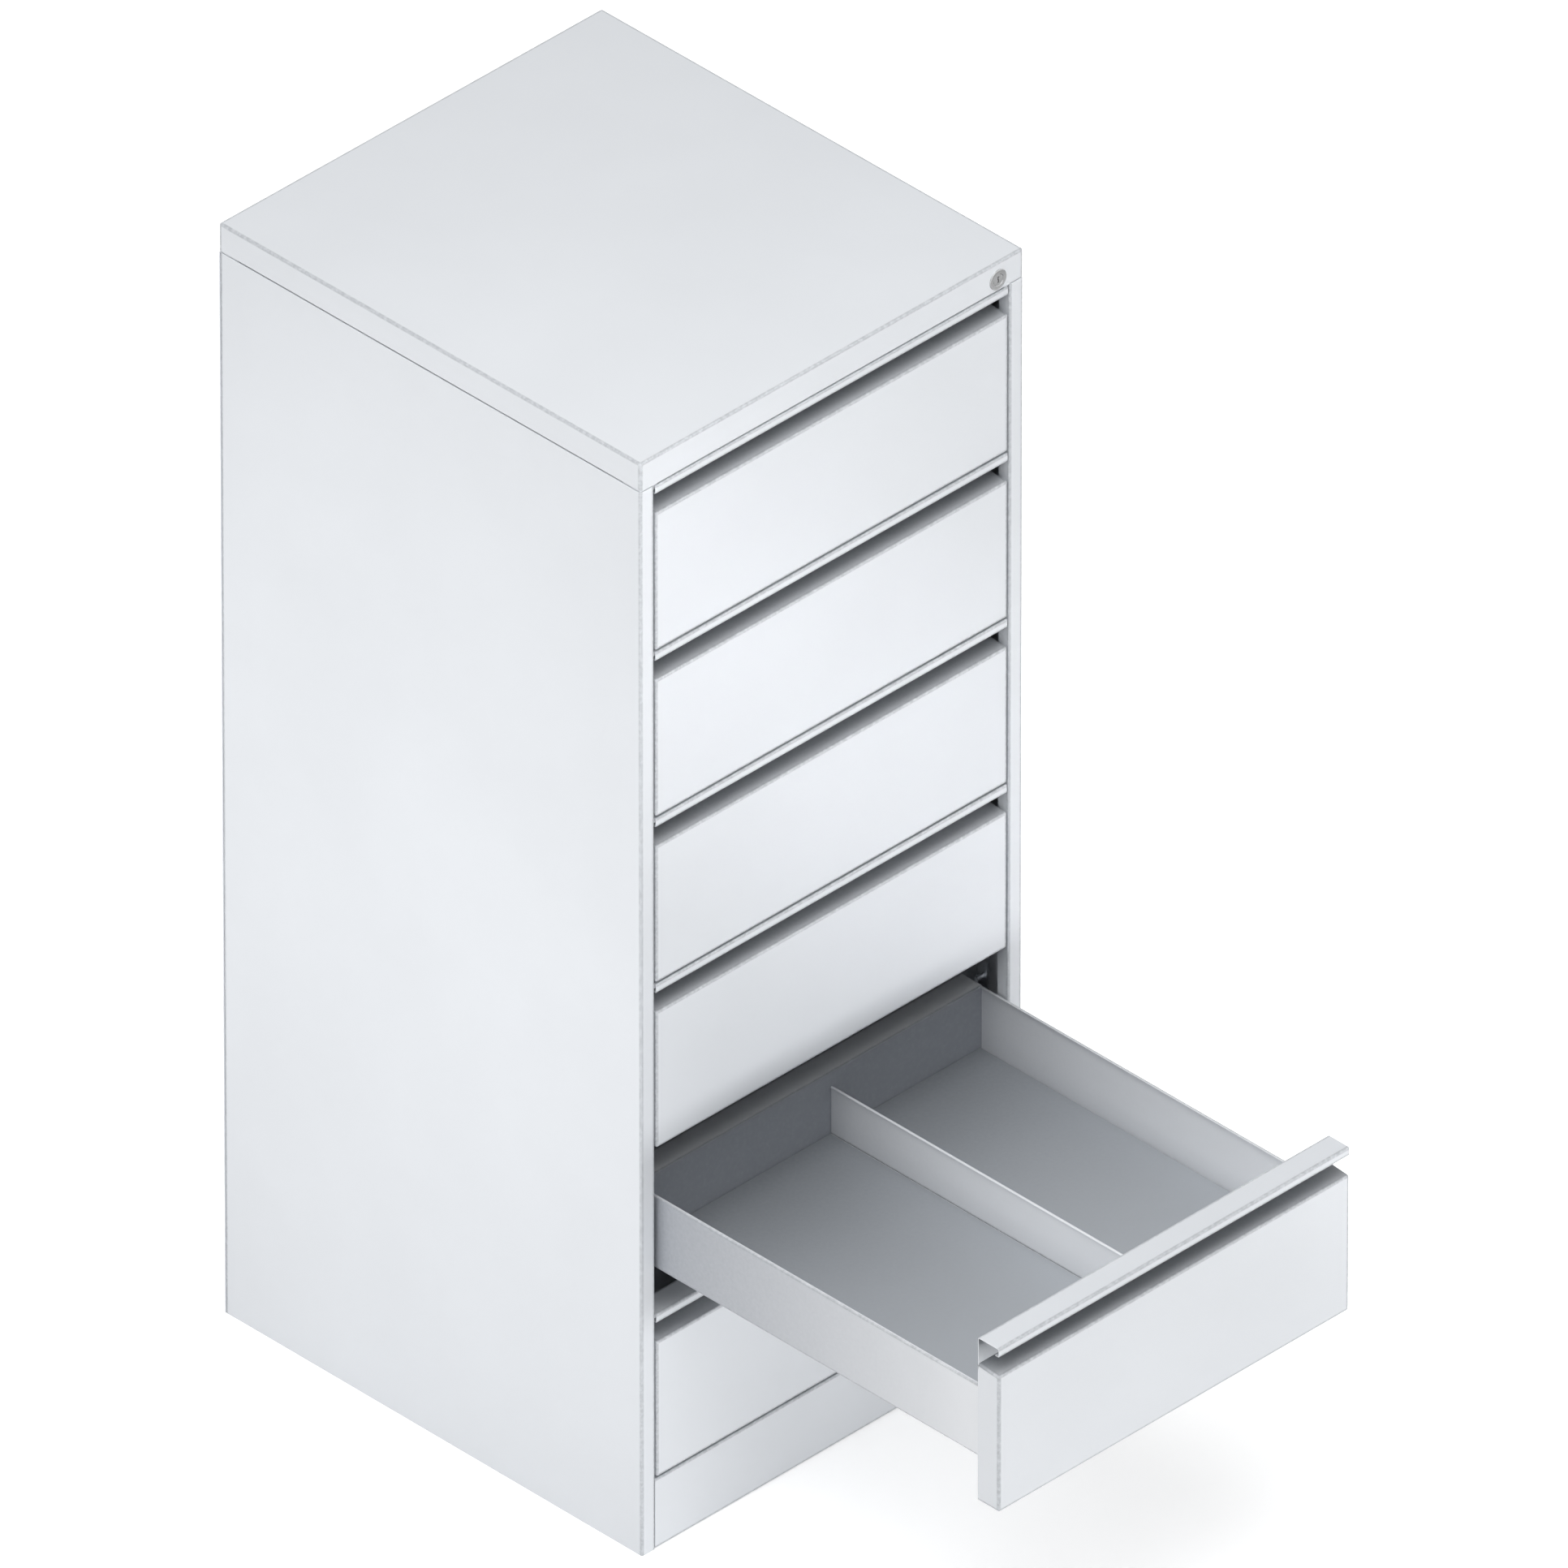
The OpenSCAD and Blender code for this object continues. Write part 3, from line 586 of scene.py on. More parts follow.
class Shell:
    """The closed faces of one piece while it is made, in millimetres."""

    def __init__(self) -> None:
        """Starts with no faces."""
        self.bm = bmesh.new()
        self.worn = self.bm.verts.layers.float.new("worn")
        # A layer for the painted shade, which the coat's material reads.
        self.painted_shade = self.bm.verts.layers.float.new("painted_shade")

    def ring(self, axis: Axis, knots: Iterable[Knot], run: float) -> list[bmesh.types.BMVert]:
        """Adds a section's vertices at one distance along the axis.

        Args:
            axis: The axis that the section stands across.
            knots: The section.
            run: Distance along the axis.

        Returns:
            The vertices, in the section's order.
        """
        verts = []
        for knot in knots:
            vert = self.bm.verts.new(axis.at(run, knot.u, knot.v))
            vert[self.worn] = knot.worn
            verts.append(vert)
        return verts

    def bridge(self, a: Sequence[bmesh.types.BMVert], b: Sequence[bmesh.types.BMVert]) -> None:
        """Joins two rings of the same length with quads.

        Args:
            a: One ring.
            b: The other.
        """
        for i in range(len(a)):
            j = (i + 1) % len(a)
            self.bm.faces.new((a[i], a[j], b[j], b[i]))

    def close_strip(self, ring: Sequence[bmesh.types.BMVert]) -> None:
        """Closes the end of a sheet's section with quads from one face of the sheet to the other.

        Args:
            ring: The section's vertices, out along one face and back along the other.
        """
        last = len(ring) - 1
        for i in range(len(ring) // 2 - 1):
            self.bm.faces.new((ring[i], ring[i + 1], ring[last - i - 1], ring[last - i]))

    def prism(self, axis: Axis, knots: Sequence[Knot], lo: float, hi: float, ease: float = 0.25,
              bays: int = 1, strip: bool = True) -> None:
        """Draws a section out along an axis and eases its cut edges.

        Args:
            axis: The axis.
            knots: The section.
            lo: Where it starts.
            hi: Where it ends.
            ease: Chamfer at both ends.
            bays: Lengths that the run is split into.
            strip: True if the section goes out along a sheet and back, or is convex.
        """
        small = [Knot(knot.u, knot.v) for knot in inset(knots, ease)]
        length = hi - lo - 2 * ease
        rings = [self.ring(axis, small, lo)]
        rings += [self.ring(axis, knots, lo + ease + length * i / bays) for i in range(bays + 1)]
        rings.append(self.ring(axis, small, hi))
        for a, b in zip(rings, rings[1:]):
            self.bridge(a, b)
        for end in (rings[0], rings[-1]):
            if strip:
                self.close_strip(end)
            else:
                self.bm.faces.new(end)

    def pan(self, axis: Axis, lo: Point, hi: Point, rim: float, face: float, gauge: float,
            bend: float = 2.0, corner: float = 2.4, tightest: float = 0.4, steps: int = 5,
            guard: float = 1.6) -> None:
        """Makes a shallow tray of sheet, open at its rim, with round folds and corners.

        Args:
            axis: The axis across the pan's face.
            lo: The face's lowest corner.
            hi: The face's highest corner.
            rim: Place of the open rim along the axis.
            face: Place of the closed face along the axis.
            gauge: Sheet thickness.
            bend: Outside radius of the folds round the face.
            corner: Outside radius of the corners.
            tightest: Least inside radius of the folds.
            steps: Facets in each fold.
            guard: Distance from a fold to the loop beside it.
        """
        way = math.copysign(1.0, face - rim)

        def skin(shrink: float) -> list[list[bmesh.types.BMVert]]:
            """Makes the rings of one skin of the sheet.

            Args:
                shrink: How far the skin lies inside the outer one.

            Returns:
                The rings, from the rim to the middle of the face.
            """
            fold = max(bend - shrink, tightest)
            top = face - way * shrink

            def band(depth: float, run: float, worn: float | None = None) -> list[bmesh.types.BMVert]:
                """Makes one ring of the skin.

                Args:
                    depth: How far it is drawn in.
                    run: Its place along the axis.
                    worn: Its wear all round, or None for worn corners only.

                Returns:
                    The ring's vertices.
                """
                step = shrink + depth
                knots = rounded((lo[0] + step, lo[1] + step), (hi[0] - step, hi[1] - step),
                                max(corner - step, 0.0), steps, guard)
                if worn is not None:
                    knots = [Knot(k.u, k.v, worn) for k in knots]
                return self.ring(axis, knots, run)

            rings = [band(0.0, rim), band(0.0, top - way * (fold + guard))]
            for k in range(steps + 1):
                angle = k / steps * math.pi / 2
                rings.append(band(fold * (1 - math.cos(angle)), top - way * fold * (1 - math.sin(angle)),
                                  1.0 if shrink == 0.0 else 0.0))
            rings.append(band(fold + guard, top, 0.0))
            return rings

        outer, inner = skin(0.0), skin(gauge)
        for rings in (outer, inner):
            for a, b in zip(rings, rings[1:]):
                self.bridge(a, b)
            self.bm.faces.new(rings[-1])
        self.bridge(outer[0], inner[0])

    def revolve(self, axis: Axis, centre: Point, profile: Sequence[Point], sides: int = 48,
                closed: bool = False) -> None:
        """Turns a profile round an axis.

        Args:
            axis: The axis of turning.
            centre: The axis's place, in the other two coordinates.
            profile: Radius and distance along the axis of each point. A radius of 0 is a pole.
            sides: Facets round the axis.
            closed: True if the profile's last point joins its first.
        """
        rings: list[list[bmesh.types.BMVert]] = []
        for radius, run in profile:
            count = 1 if radius == 0 else sides
            rings.append(self.ring(axis, [Knot(centre[0] + radius * math.cos(math.tau * k / sides),
                                               centre[1] + radius * math.sin(math.tau * k / sides))
                                          for k in range(count)], run))
        pairs = list(zip(rings, rings[1:])) + ([(rings[-1], rings[0])] if closed else [])
        for a, b in pairs:
            if len(a) == len(b):
                self.bridge(a, b)
            else:
                pole, rim = (a[0], b) if len(a) == 1 else (b[0], a)
                for i in range(sides):
                    self.bm.faces.new((pole, rim[i], rim[(i + 1) % sides]))

    def reshape(self, rule: Callable[[Vector], Vector]) -> None:
        """Moves every vertex by a rule that takes and gives a point."""
        for vert in self.bm.verts:
            vert.co = rule(vert.co)

    def paint_shade(self, rule: Callable[[Vector], float]) -> None:
        """Sets the painted shade, from 0 to 1, by a rule that takes a point."""
        for vert in self.bm.verts:
            vert[self.painted_shade] = rule(vert.co)

    def mesh(self, name: str, smooth: float = 35.0, weld: float = 0.004) -> bpy.types.Mesh:
        """Finishes the faces as a mesh in metres.

        Args:
            name: The mesh's name.
            smooth: Edges that turn more than this, in degrees, stay sharp.
            weld: Vertices this close, in millimetres, become one.

        Returns:
            The mesh, with its faces turned outwards.
        """
        bmesh.ops.remove_doubles(self.bm, verts=self.bm.verts, dist=weld)
        bmesh.ops.recalc_face_normals(self.bm, faces=self.bm.faces)
        bmesh.ops.scale(self.bm, vec=(MM, MM, MM), verts=self.bm.verts)
        return smoothed(self.bm, name, smooth)


def smoothed(bm: bmesh.types.BMesh, name: str, smooth: float) -> bpy.types.Mesh:
    """Writes faces to a new mesh that is smooth but for its sharp edges, and frees them.

    Args:
        bm: The faces.
        name: The mesh's name.
        smooth: Edges that turn more than this, in degrees, stay sharp.

    Returns:
        The mesh.
    """
    mesh = bpy.data.meshes.new(name)
    bm.to_mesh(mesh)
    bm.free()
    mesh.shade_smooth()
    mesh.set_sharp_from_angle(angle=math.radians(smooth))
    return mesh


def eased_copy(node: str, width: float, steps: int = 2, sharp: float = 40.0) -> bpy.types.Mesh:
    """Copies a CAD node's mesh with its sharp edges broken, as deburring and plating leave them.

    Args:
        node: The node.
        width: Width of the broken edge, in millimetres.
        steps: Facets across it.
        sharp: Edges that turn more than this, in degrees, are broken.

    Returns:
        The new mesh.
    """
    bm = bmesh.new()
    bm.from_mesh(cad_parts[node].data)
    bmesh.ops.remove_doubles(bm, verts=bm.verts, dist=1e-5)
    # Facets of one flat face turn by less than half a degree.
    bmesh.ops.dissolve_limit(bm, angle_limit=math.radians(0.5), verts=bm.verts, edges=bm.edges)
    turns = ((e, e.calc_face_angle(0.0)) for e in bm.edges if len(e.link_faces) == 2)
    broken = [e for e, turn in turns if turn > math.radians(sharp)]
    bmesh.ops.bevel(bm, geom=broken, offset=width * MM, segments=steps, profile=0.5, affect="EDGES",
                    clamp_overlap=True)
    return smoothed(bm, node, 20.0)


# ------------------------------------------------------------------ repeated fittings

@dataclass
class FittingGrid:
    """Geometry Nodes that set a fitting out in rows and columns. Places and steps are in millimetres."""

    columns: int
    rows: int
    origin: Vector
    column_step: Vector
    row_step: Vector

    def tree(self) -> bpy.types.NodeTree:
        """Builds the node tree on the first call.

        Returns:
            The tree, the same one each time.
        """
        if "fitting_grid" in bpy.data.node_groups:
            return bpy.data.node_groups["fitting_grid"]
        tree = bpy.data.node_groups.new("fitting_grid", "GeometryNodeTree")
        for label, kind in (("Fitting", "NodeSocketGeometry"), ("Columns", "NodeSocketInt"),
                            ("Rows", "NodeSocketInt"), ("Origin", "NodeSocketVector"),
                            ("Column step", "NodeSocketVector"), ("Row step", "NodeSocketVector"),
                            ("Finish", "NodeSocketMaterial")):
            tree.interface.new_socket(name=label, in_out="INPUT", socket_type=kind)
        tree.interface.new_socket(name="Fittings", in_out="OUTPUT", socket_type="NodeSocketGeometry")
        given = add_node(tree, "NodeGroupInput").outputs
        count = add_node(tree, "ShaderNodeMath", {0: given["Columns"], 1: given["Rows"]},
                         operation="MULTIPLY")
        points = add_node(tree, "GeometryNodePoints", {"Count": count.outputs["Value"]})
        index = add_node(tree, "GeometryNodeInputIndex").outputs["Index"]
        column = add_node(tree, "ShaderNodeMath", {0: index, 1: given["Columns"]}, operation="MODULO")
        quotient = add_node(tree, "ShaderNodeMath", {0: index, 1: given["Columns"]}, operation="DIVIDE")
        row = add_node(tree, "ShaderNodeMath", {0: quotient.outputs["Value"]}, operation="FLOOR")
        across = add_node(tree, "ShaderNodeVectorMath", {0: given["Column step"],
                                                         "Scale": column.outputs["Value"]},
                          operation="SCALE")
        along = add_node(tree, "ShaderNodeVectorMath", {0: given["Row step"], "Scale": row.outputs["Value"]},
                         operation="SCALE")
        shift = add_node(tree, "ShaderNodeVectorMath", {0: across.outputs["Vector"],
                                                        1: along.outputs["Vector"]}, operation="ADD")
        spot = add_node(tree, "ShaderNodeVectorMath", {0: shift.outputs["Vector"], 1: given["Origin"]},
                        operation="ADD")
        placed = add_node(tree, "GeometryNodeSetPosition", {"Geometry": points.outputs["Points"],
                                                            "Position": spot.outputs["Vector"]})
        copies = add_node(tree, "GeometryNodeInstanceOnPoints", {"Points": placed.outputs["Geometry"],
                                                                 "Instance": given["Fitting"]})
        real = add_node(tree, "GeometryNodeRealizeInstances", {"Geometry": copies.outputs["Instances"]})
        coated = add_node(tree, "GeometryNodeSetMaterial", {"Geometry": real.outputs["Geometry"],
                                                            "Material": given["Finish"]})
        add_node(tree, "NodeGroupOutput", {"Fittings": coated.outputs["Geometry"]})
        return tree

    def spread(self, fitting: bpy.types.Mesh, finish: bpy.types.Material, name: str) -> bpy.types.Mesh:
        """Copies a fitting to every place of the grid.

        Args:
            fitting: The fitting's mesh, in metres, drawn round the origin.
            finish: Its material.
            name: The name of the result.

        Returns:
            One plain mesh with all the copies.
        """
        tree = self.tree()
        holder = new_object(name + "_maker", fitting)
        modifier = holder.modifiers.new("fitting_grid", "NODES")
        modifier.node_group = tree
        values = {"Columns": self.columns, "Rows": self.rows, "Origin": tuple(self.origin * MM),
                  "Column step": tuple(self.column_step * MM), "Row step": tuple(self.row_step * MM),
                  "Finish": finish}
        for item in tree.interface.items_tree:
            if item.in_out == "INPUT" and item.name in values:
                modifier[item.identifier] = values[item.name]
        holder.update_tag()
        made = bpy.data.meshes.new_from_object(holder.evaluated_get(bpy.context.evaluated_depsgraph_get()))
        made.name = name
        holder.modifiers.remove(modifier)
        bpy.data.objects.remove(holder)
        return made


# ------------------------------------------------------------------ placing pieces

@dataclass
class Workshop:
    """Hangs finished pieces on their bodies and paints the CAD nodes that stay."""

    finishes: FinishBook
    pieces: int = 0

    def piece(self, name: str, mesh: bpy.types.Mesh, finish: Finish, body: str, *stands_for: str,
              floor: bool = False) -> bpy.types.Object:
        """Places a finished mesh.

        Args:
            name: The piece's name.
            mesh: Its mesh, in metres, in place.
            finish: Its finish.
            body: The body that it moves with.
            *stands_for: CAD nodes that it replaces.
            floor: True for a drawer's bottom plate, which takes the darker coat that paints shade.

        Returns:
            The piece's object.
        """
        mesh.name = name
        mesh.materials.clear()
        mesh.materials.append(self.finishes.material(finish, floor))
        mesh.polygons.foreach_set("material_index", [0] * len(mesh.polygons))
        piece = new_object(name, mesh)
        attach(piece, body)
        if stands_for:
            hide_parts(*stands_for)
        self.pieces += 1
        log.info("%s on %s: %d faces, %s", name, body, len(mesh.polygons), finish.value)
        return piece

    def dress(self, finish: Finish, *nodes: str) -> None:
        """Gives CAD nodes that stay as they are a finish.

        Args:
            finish: The finish.
            *nodes: The nodes.
        """
        material = self.finishes.material(finish)
        for node in nodes:
            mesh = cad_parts[node].data
            if not mesh.materials:
                mesh.materials.append(material)
            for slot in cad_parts[node].material_slots:
                slot.material = material
            log.info("%s dressed in %s", node, finish.value)

    def ease(self, finish: Finish, body: str, width: float, *nodes: str) -> None:
        """Replaces CAD nodes with copies whose edges are broken.

        Args:
            finish: The finish.
            body: The body that they move with.
            width: Width of the broken edge, in millimetres.
            *nodes: The nodes.
        """
        for node in nodes:
            self.piece(node + "_eased", eased_copy(node, width), finish, body, node)


# ------------------------------------------------------------------ sub-assemblies

@dataclass
class Carcass:
    """The cabinet's skin: sides, back, cover, plinth and what ties them. Lengths are in millimetres."""

    shop: Workshop
    gauge: float = 1.2
    stile_w: float = 19.0
    stile_fold: float = 15.0
    flange_w: float = 25.0
    fold_room: float = 0.4
    bar_room: float = 2.0
    reveal: float = 2.0

    def build(self) -> None:
        """Builds the skin."""
        self.side_panels()
        self.cover()
        self.plinth()
        self.shop.ease(Finish.BODY, "cabinet", 0.4, "back_panel")
        self.shop.dress(Finish.BODY, "top_rails", "base_panel")

    def side_panels(self) -> None:
        """Builds both side panels, folded from the stile round to the back flange."""
        lo, hi = extent("right_side_panel")
        bar_lo, bar_hi = extent("lock_bar")
        t, half = self.gauge, hi.x
        middle, inner = half - t / 2, half - self.flange_w
        edge = half - self.stile_w + t / 2
        line = [(edge, lo.y + self.stile_fold), (edge, lo.y + t / 2), (middle, lo.y + t / 2),
                (middle, hi.y - t / 2), (inner, hi.y - t / 2)]
        front = lo.y + t + self.fold_room
        flange = [(inner, front), (half - t, front), (half - t, hi.y - t), (inner, hi.y - t)]
        side, near, far = (bar_hi.x + self.bar_room, bar_lo.y - self.bar_room, bar_hi.y + self.bar_room)
        notch = [(inner, far), (side, far), (side, near), (inner, near)]
        for hand, cut in (("left", []), ("right", notch)):
            shell = Shell()
            shell.prism(Axis.Z, folded(line, t), 0.0, hi.z, ease=0.4)
            shell.prism(Axis.Z, [Knot(*spot) for spot in flange + cut], hi.z - t, hi.z, ease=0.1,
                        strip=False)
            if hand == "left":
                shell.reshape(lambda co: Vector((-co.x, co.y, co.z)))
            name = f"{hand}_side_sheet"
            self.shop.piece(name, shell.mesh(name), Finish.BODY, "cabinet", f"{hand}_side_panel")

    def cover(self) -> None:
        """Builds the folded top cover, with a shadow gap over the side panels."""
        lo, hi = extent("top_cover")
        shell = Shell()
        shell.pan(Axis.Z, (lo.x, lo.y), (hi.x, hi.y), lo.z + self.reveal, hi.z, self.gauge)
        self.shop.piece("cover_sheet", shell.mesh("cover_sheet"), Finish.BODY, "cabinet", "top_cover")

    def plinth(self) -> None:
        """Builds the plinth panel as one folded strip."""
        lo, hi = extent("plinth_panel")
        t = self.gauge
        front, back = lo.y + t / 2, hi.y - t / 2
        line = [(back, hi.z - self.flange_w), (back, hi.z - t / 2), (front, hi.z - t / 2),
                (front, lo.z + t / 2), (hi.y, lo.z + t / 2)]
        shell = Shell()
        shell.prism(Axis.X, folded(line, t), lo.x, hi.x, ease=0.3)
        self.shop.piece("plinth_sheet", shell.mesh("plinth_sheet"), Finish.BODY, "cabinet", "plinth_panel")


@dataclass
class Drawer:
    """One drawer: its folded front, box, divider, hook and slide members. Lengths are in millimetres."""

    shop: Workshop
    number: int
    # The front, with its lip, the grip under it and the liner behind.
    gauge: float = 1.2
    lip_h: float = 10.5
    lip_return: float = 6.0
    grip_h: float = 34.0
    grip_fall: float = 2.6
    grip_tab: float = 4.0
    liner_corner: float = 3.0
    # The liner's spot welds. The outline gives shares of the radius, and heights.
    welds: int = 5
    weld_r: float = 3.0
    weld_in: float = 40.0
    weld_drop: float = 16.0
    weld_outline: tuple[Point, ...] = ((0.0, 0.02), (0.6, 0.03), (0.8, 0.1), (1.0, 0.02), (1.0, -0.2),
                                       (0.0, -0.2))
    # The box and divider, drawn out in bays that carry the painted shade's fade.
    box_gauge: float = 1.0
    bays: int = 6
    hem_w: float = 3.4
    hem_gap: float = 0.15
    joint_w: float = 12.0
    joint_room: float = 1.0
    back_room: float = 0.3
    bead_r: float = 1.5
    bead_ease: float = 0.3
    # The loose bottom plates, whose darker coat paints the floor's shade, and the room that they have at each
    # side, between them and at both ends.
    plate_t: float = 1.2
    plate_room: float = 1.4
    plate_gap: float = 0.9
    plate_ends: Point = (0.4, 0.1)
    # Painted shade, from 0 to 1: in the grip, inside the box, outside its walls, on the plates.
    grip_shade_edge: float = 0.25
    grip_shade_full: float = 0.8
    shade_most: float = 0.4
    shade_fade: float = 1.6
    outer_shade_fade: float = 0.8
    plate_shade_share: float = 2.1

    def __post_init__(self) -> None:
        """Reads where the drawer's CAD nodes are."""
        self.body = f"drawer_{self.number}"
        self.front_lo, self.front_hi = extent(f"{self.body}_front")
        self.tray_lo, self.tray_hi = extent(f"{self.body}_tray")
        self.divider_lo, self.divider_hi = extent(f"{self.body}_divider")
        self.liner_lo, self.liner_hi = extent(f"{self.body}_liner")
        self.floor_z = self.divider_lo.z

    def build(self) -> None:
        """Builds the drawer."""
        self.front()
        self.liner()
        self.tray()
        self.floor_shade_plates()
        self.divider()
        self.shop.ease(Finish.ZINC, self.body, 0.3, f"{self.body}_hook")
        self.shop.dress(Finish.STEEL, f"{self.body}_rails", f"{self.body}_middle_rails")

    def front(self) -> None:
        """Builds the front: a pan below, and the folded ledge with its lip and grip above."""
        lo, hi, t = self.front_lo, self.front_hi, self.gauge
        top = hi.z - self.grip_h
        depth = hi.y - lo.y
        shell = Shell()
        shell.pan(Axis.Y, (lo.x, lo.z), (hi.x, top), hi.y, lo.y, t)
        middle = (lo.z + top) / 2

        def slope(co: Vector) -> Vector:
            """Raises the pan's top edge towards the back."""
            rise = self.grip_fall * (co.y - lo.y) / depth if co.z > middle else 0.0
            return Vector((co.x, co.y, co.z + rise))

        shell.reshape(slope)
        front, back, roof = lo.y + t / 2, hi.y - t / 2, hi.z - t / 2
        lip = hi.z - self.lip_h + t / 2
        line = [(lo.y + self.lip_return, lip), (front, lip), (front, roof), (back, roof),
                (back, top - self.grip_tab)]
        shell.prism(Axis.X, folded(line, t), lo.x, hi.x, ease=0.3)

        def grip(co: Vector) -> float:
            """Paints shade in the grip, darker towards its back.

            Args:
                co: A point of the front.

            Returns:
                How much painted shade lies there.
            """
            if co.z > hi.z - t + NEAR or not lo.y + t - NEAR < co.y < hi.y - t + NEAR:
                on_ledge = co.y > lo.y + t and top - NEAR < co.z < top + self.grip_fall + NEAR
                return 1.0 if on_ledge else 0.0
            if co.z > top - NEAR:
                share = (co.y - lo.y) / (self.grip_shade_full * depth)
                return min(1.0, self.grip_shade_edge + (1 - self.grip_shade_edge) * share)
            return 0.0

        shell.paint_shade(grip)
        self.shop.piece(f"{self.body}_front_sheet", shell.mesh("front"), Finish.BODY, self.body,
                        f"{self.body}_front")

    def liner(self) -> None:
        """Builds the plate behind the front, and the spot welds that hold it."""
        lo, hi = self.liner_lo, self.liner_hi
        shell = Shell()
        outline = rounded((lo.x, lo.z), (hi.x, hi.z), self.liner_corner)
        shell.prism(Axis.Y, outline, lo.y, hi.y, ease=0.3)
        self.shop.piece(f"{self.body}_liner_plate", shell.mesh("liner"), Finish.TRAY, self.body,
                        f"{self.body}_liner")
        # A spot weld is a shallow dish with a raised ring, sunk a little into the plate.
        weld = Shell()
        weld.revolve(Axis.Y, (0.0, 0.0), [(self.weld_r * share, run) for share, run in self.weld_outline],
                     sides=20)
        step = (hi.x - lo.x - 2 * self.weld_in) / (self.welds - 1)
        grid = FittingGrid(self.welds, 1, Vector((lo.x + self.weld_in, hi.y, hi.z - self.weld_drop)),
                           Vector((step, 0, 0)), Vector((0, 0, -1)))
        welds = grid.spread(weld.mesh("weld"), self.shop.finishes.material(Finish.TRAY), "welds")
        self.shop.piece(f"{self.body}_spot_welds", welds, Finish.TRAY, self.body)

    def tray(self) -> None:
        """Builds the box: floor and walls from one folded sheet, and the back with its flange."""
        lo, hi, t = self.tray_lo, self.tray_hi, self.box_gauge
        half, top = hi.x, hi.z - t / 2
        wall = half - t / 2
        skirt = wall - t - self.hem_gap
        under = lo.z + t / 2
        floor = self.floor_z - t / 2
        side = [(half - self.hem_w, top), (wall, top), (wall, under), (skirt, under), (skirt, floor)]
        line = side + [(-u, v) for u, v in side[::-1]]
        y0, back = lo.y, self.divider_hi.y + self.back_room
        shell = Shell()
        shell.prism(Axis.Y, folded(line, t, inside=0.3, steps=4), y0, back, ease=0.2, bays=self.bays)
        rear = [(back + t / 2, floor), (back + t / 2, top), (hi.y - t / 2, top),
                (hi.y - t / 2, hi.z - self.lip_return)]
        shell.prism(Axis.X, folded(rear, t, inside=0.6, steps=4), lo.x, hi.x, ease=0.2)
        for way in (1, -1):
            inner, outer = sorted((way * (half - self.joint_w), way * (wall - t / 2 - NEAR)))
            tab = rectangle((inner, floor + self.joint_room), (outer, top - self.joint_room))
            shell.prism(Axis.Y, tab, y0, y0 + t, ease=0.1)

        def painted_box_shade(co: Vector) -> float:
            """Paints shade inside the box and outside its walls, darker towards the back, and full shade on the
            back wall.

            Args:
                co: A point of the box.

            Returns:
                How much painted shade lies there.
            """
            if co.y > back + t + NEAR:
                return 0.0
            if co.y > back + NEAR:
                return 1.0
            return self.share(co) ** self.outer_shade_fade if abs(co.x) > wall else self.depth(co)

        shell.paint_shade(painted_box_shade)
        self.shop.piece(f"{self.body}_box", shell.mesh("box"), Finish.TRAY, self.body, f"{self.body}_tray")

    def share(self, co: Vector) -> float:
        """Gives a point's distance from the drawer's front, as a share of the box's length."""
        return max(0.0, min(1.0, (co.y - self.liner_hi.y) / (self.divider_hi.y - self.liner_hi.y)))

    def depth(self, co: Vector) -> float:
        """Gives the painted shade inside the box, darker with a point's distance from the front."""
        return self.shade_most * self.share(co) ** self.shade_fade

    def floor_shade_plates(self) -> None:
        """Builds the loose bottom plates of the two lanes, whose darker coat paints the floor's shade."""
        half = self.tray_hi.x - 2 * self.box_gauge - self.plate_room
        middle = self.divider_lo.x + self.box_gauge / 2
        y0, y1 = self.liner_hi.y + self.plate_ends[0], self.divider_hi.y - self.plate_ends[1]
        z0 = self.floor_z + NEAR
        shell = Shell()
        for a, b in ((-half, middle - self.plate_gap), (middle + self.plate_gap, half)):
            plate = rectangle((a, z0), (b, z0 + self.plate_t))
            shell.prism(Axis.Y, plate, y0, y1, ease=0.2, bays=self.bays)
        # Painted shade, deeper than the walls', darker towards the back.
        shell.paint_shade(lambda co: self.plate_shade_share * self.depth(co))
        self.shop.piece(f"{self.body}_bottom_shade_plates", shell.mesh("plates"), Finish.TRAY, self.body,
                        floor=True)

    def divider(self) -> None:
        """Builds the lengthwise divider, with its foot and the bead along its top."""
        lo, hi, t = self.divider_lo, self.divider_hi, self.box_gauge
        bead, ease = self.bead_r, self.bead_ease
        middle = lo.x + bead
        shell = Shell()
        line = [(hi.x, lo.z + t / 2), (middle, lo.z + t / 2), (middle, hi.z - bead)]
        shell.prism(Axis.Y, folded(line, t, inside=0.5, steps=4), lo.y, hi.y, ease=0.2, bays=self.bays)
        shell.revolve(Axis.Y, (middle, hi.z - bead),
                      [(0.0, lo.y), (bead - ease, lo.y), (bead, lo.y + ease), (bead, hi.y - ease),
                       (bead - ease, hi.y), (0.0, hi.y)], sides=20)
        # Painted shade, darker towards the back, as inside the box.
        shell.paint_shade(self.depth)
        self.shop.piece(f"{self.body}_divider_sheet", shell.mesh("divider"), Finish.TRAY, self.body,
                        f"{self.body}_divider")


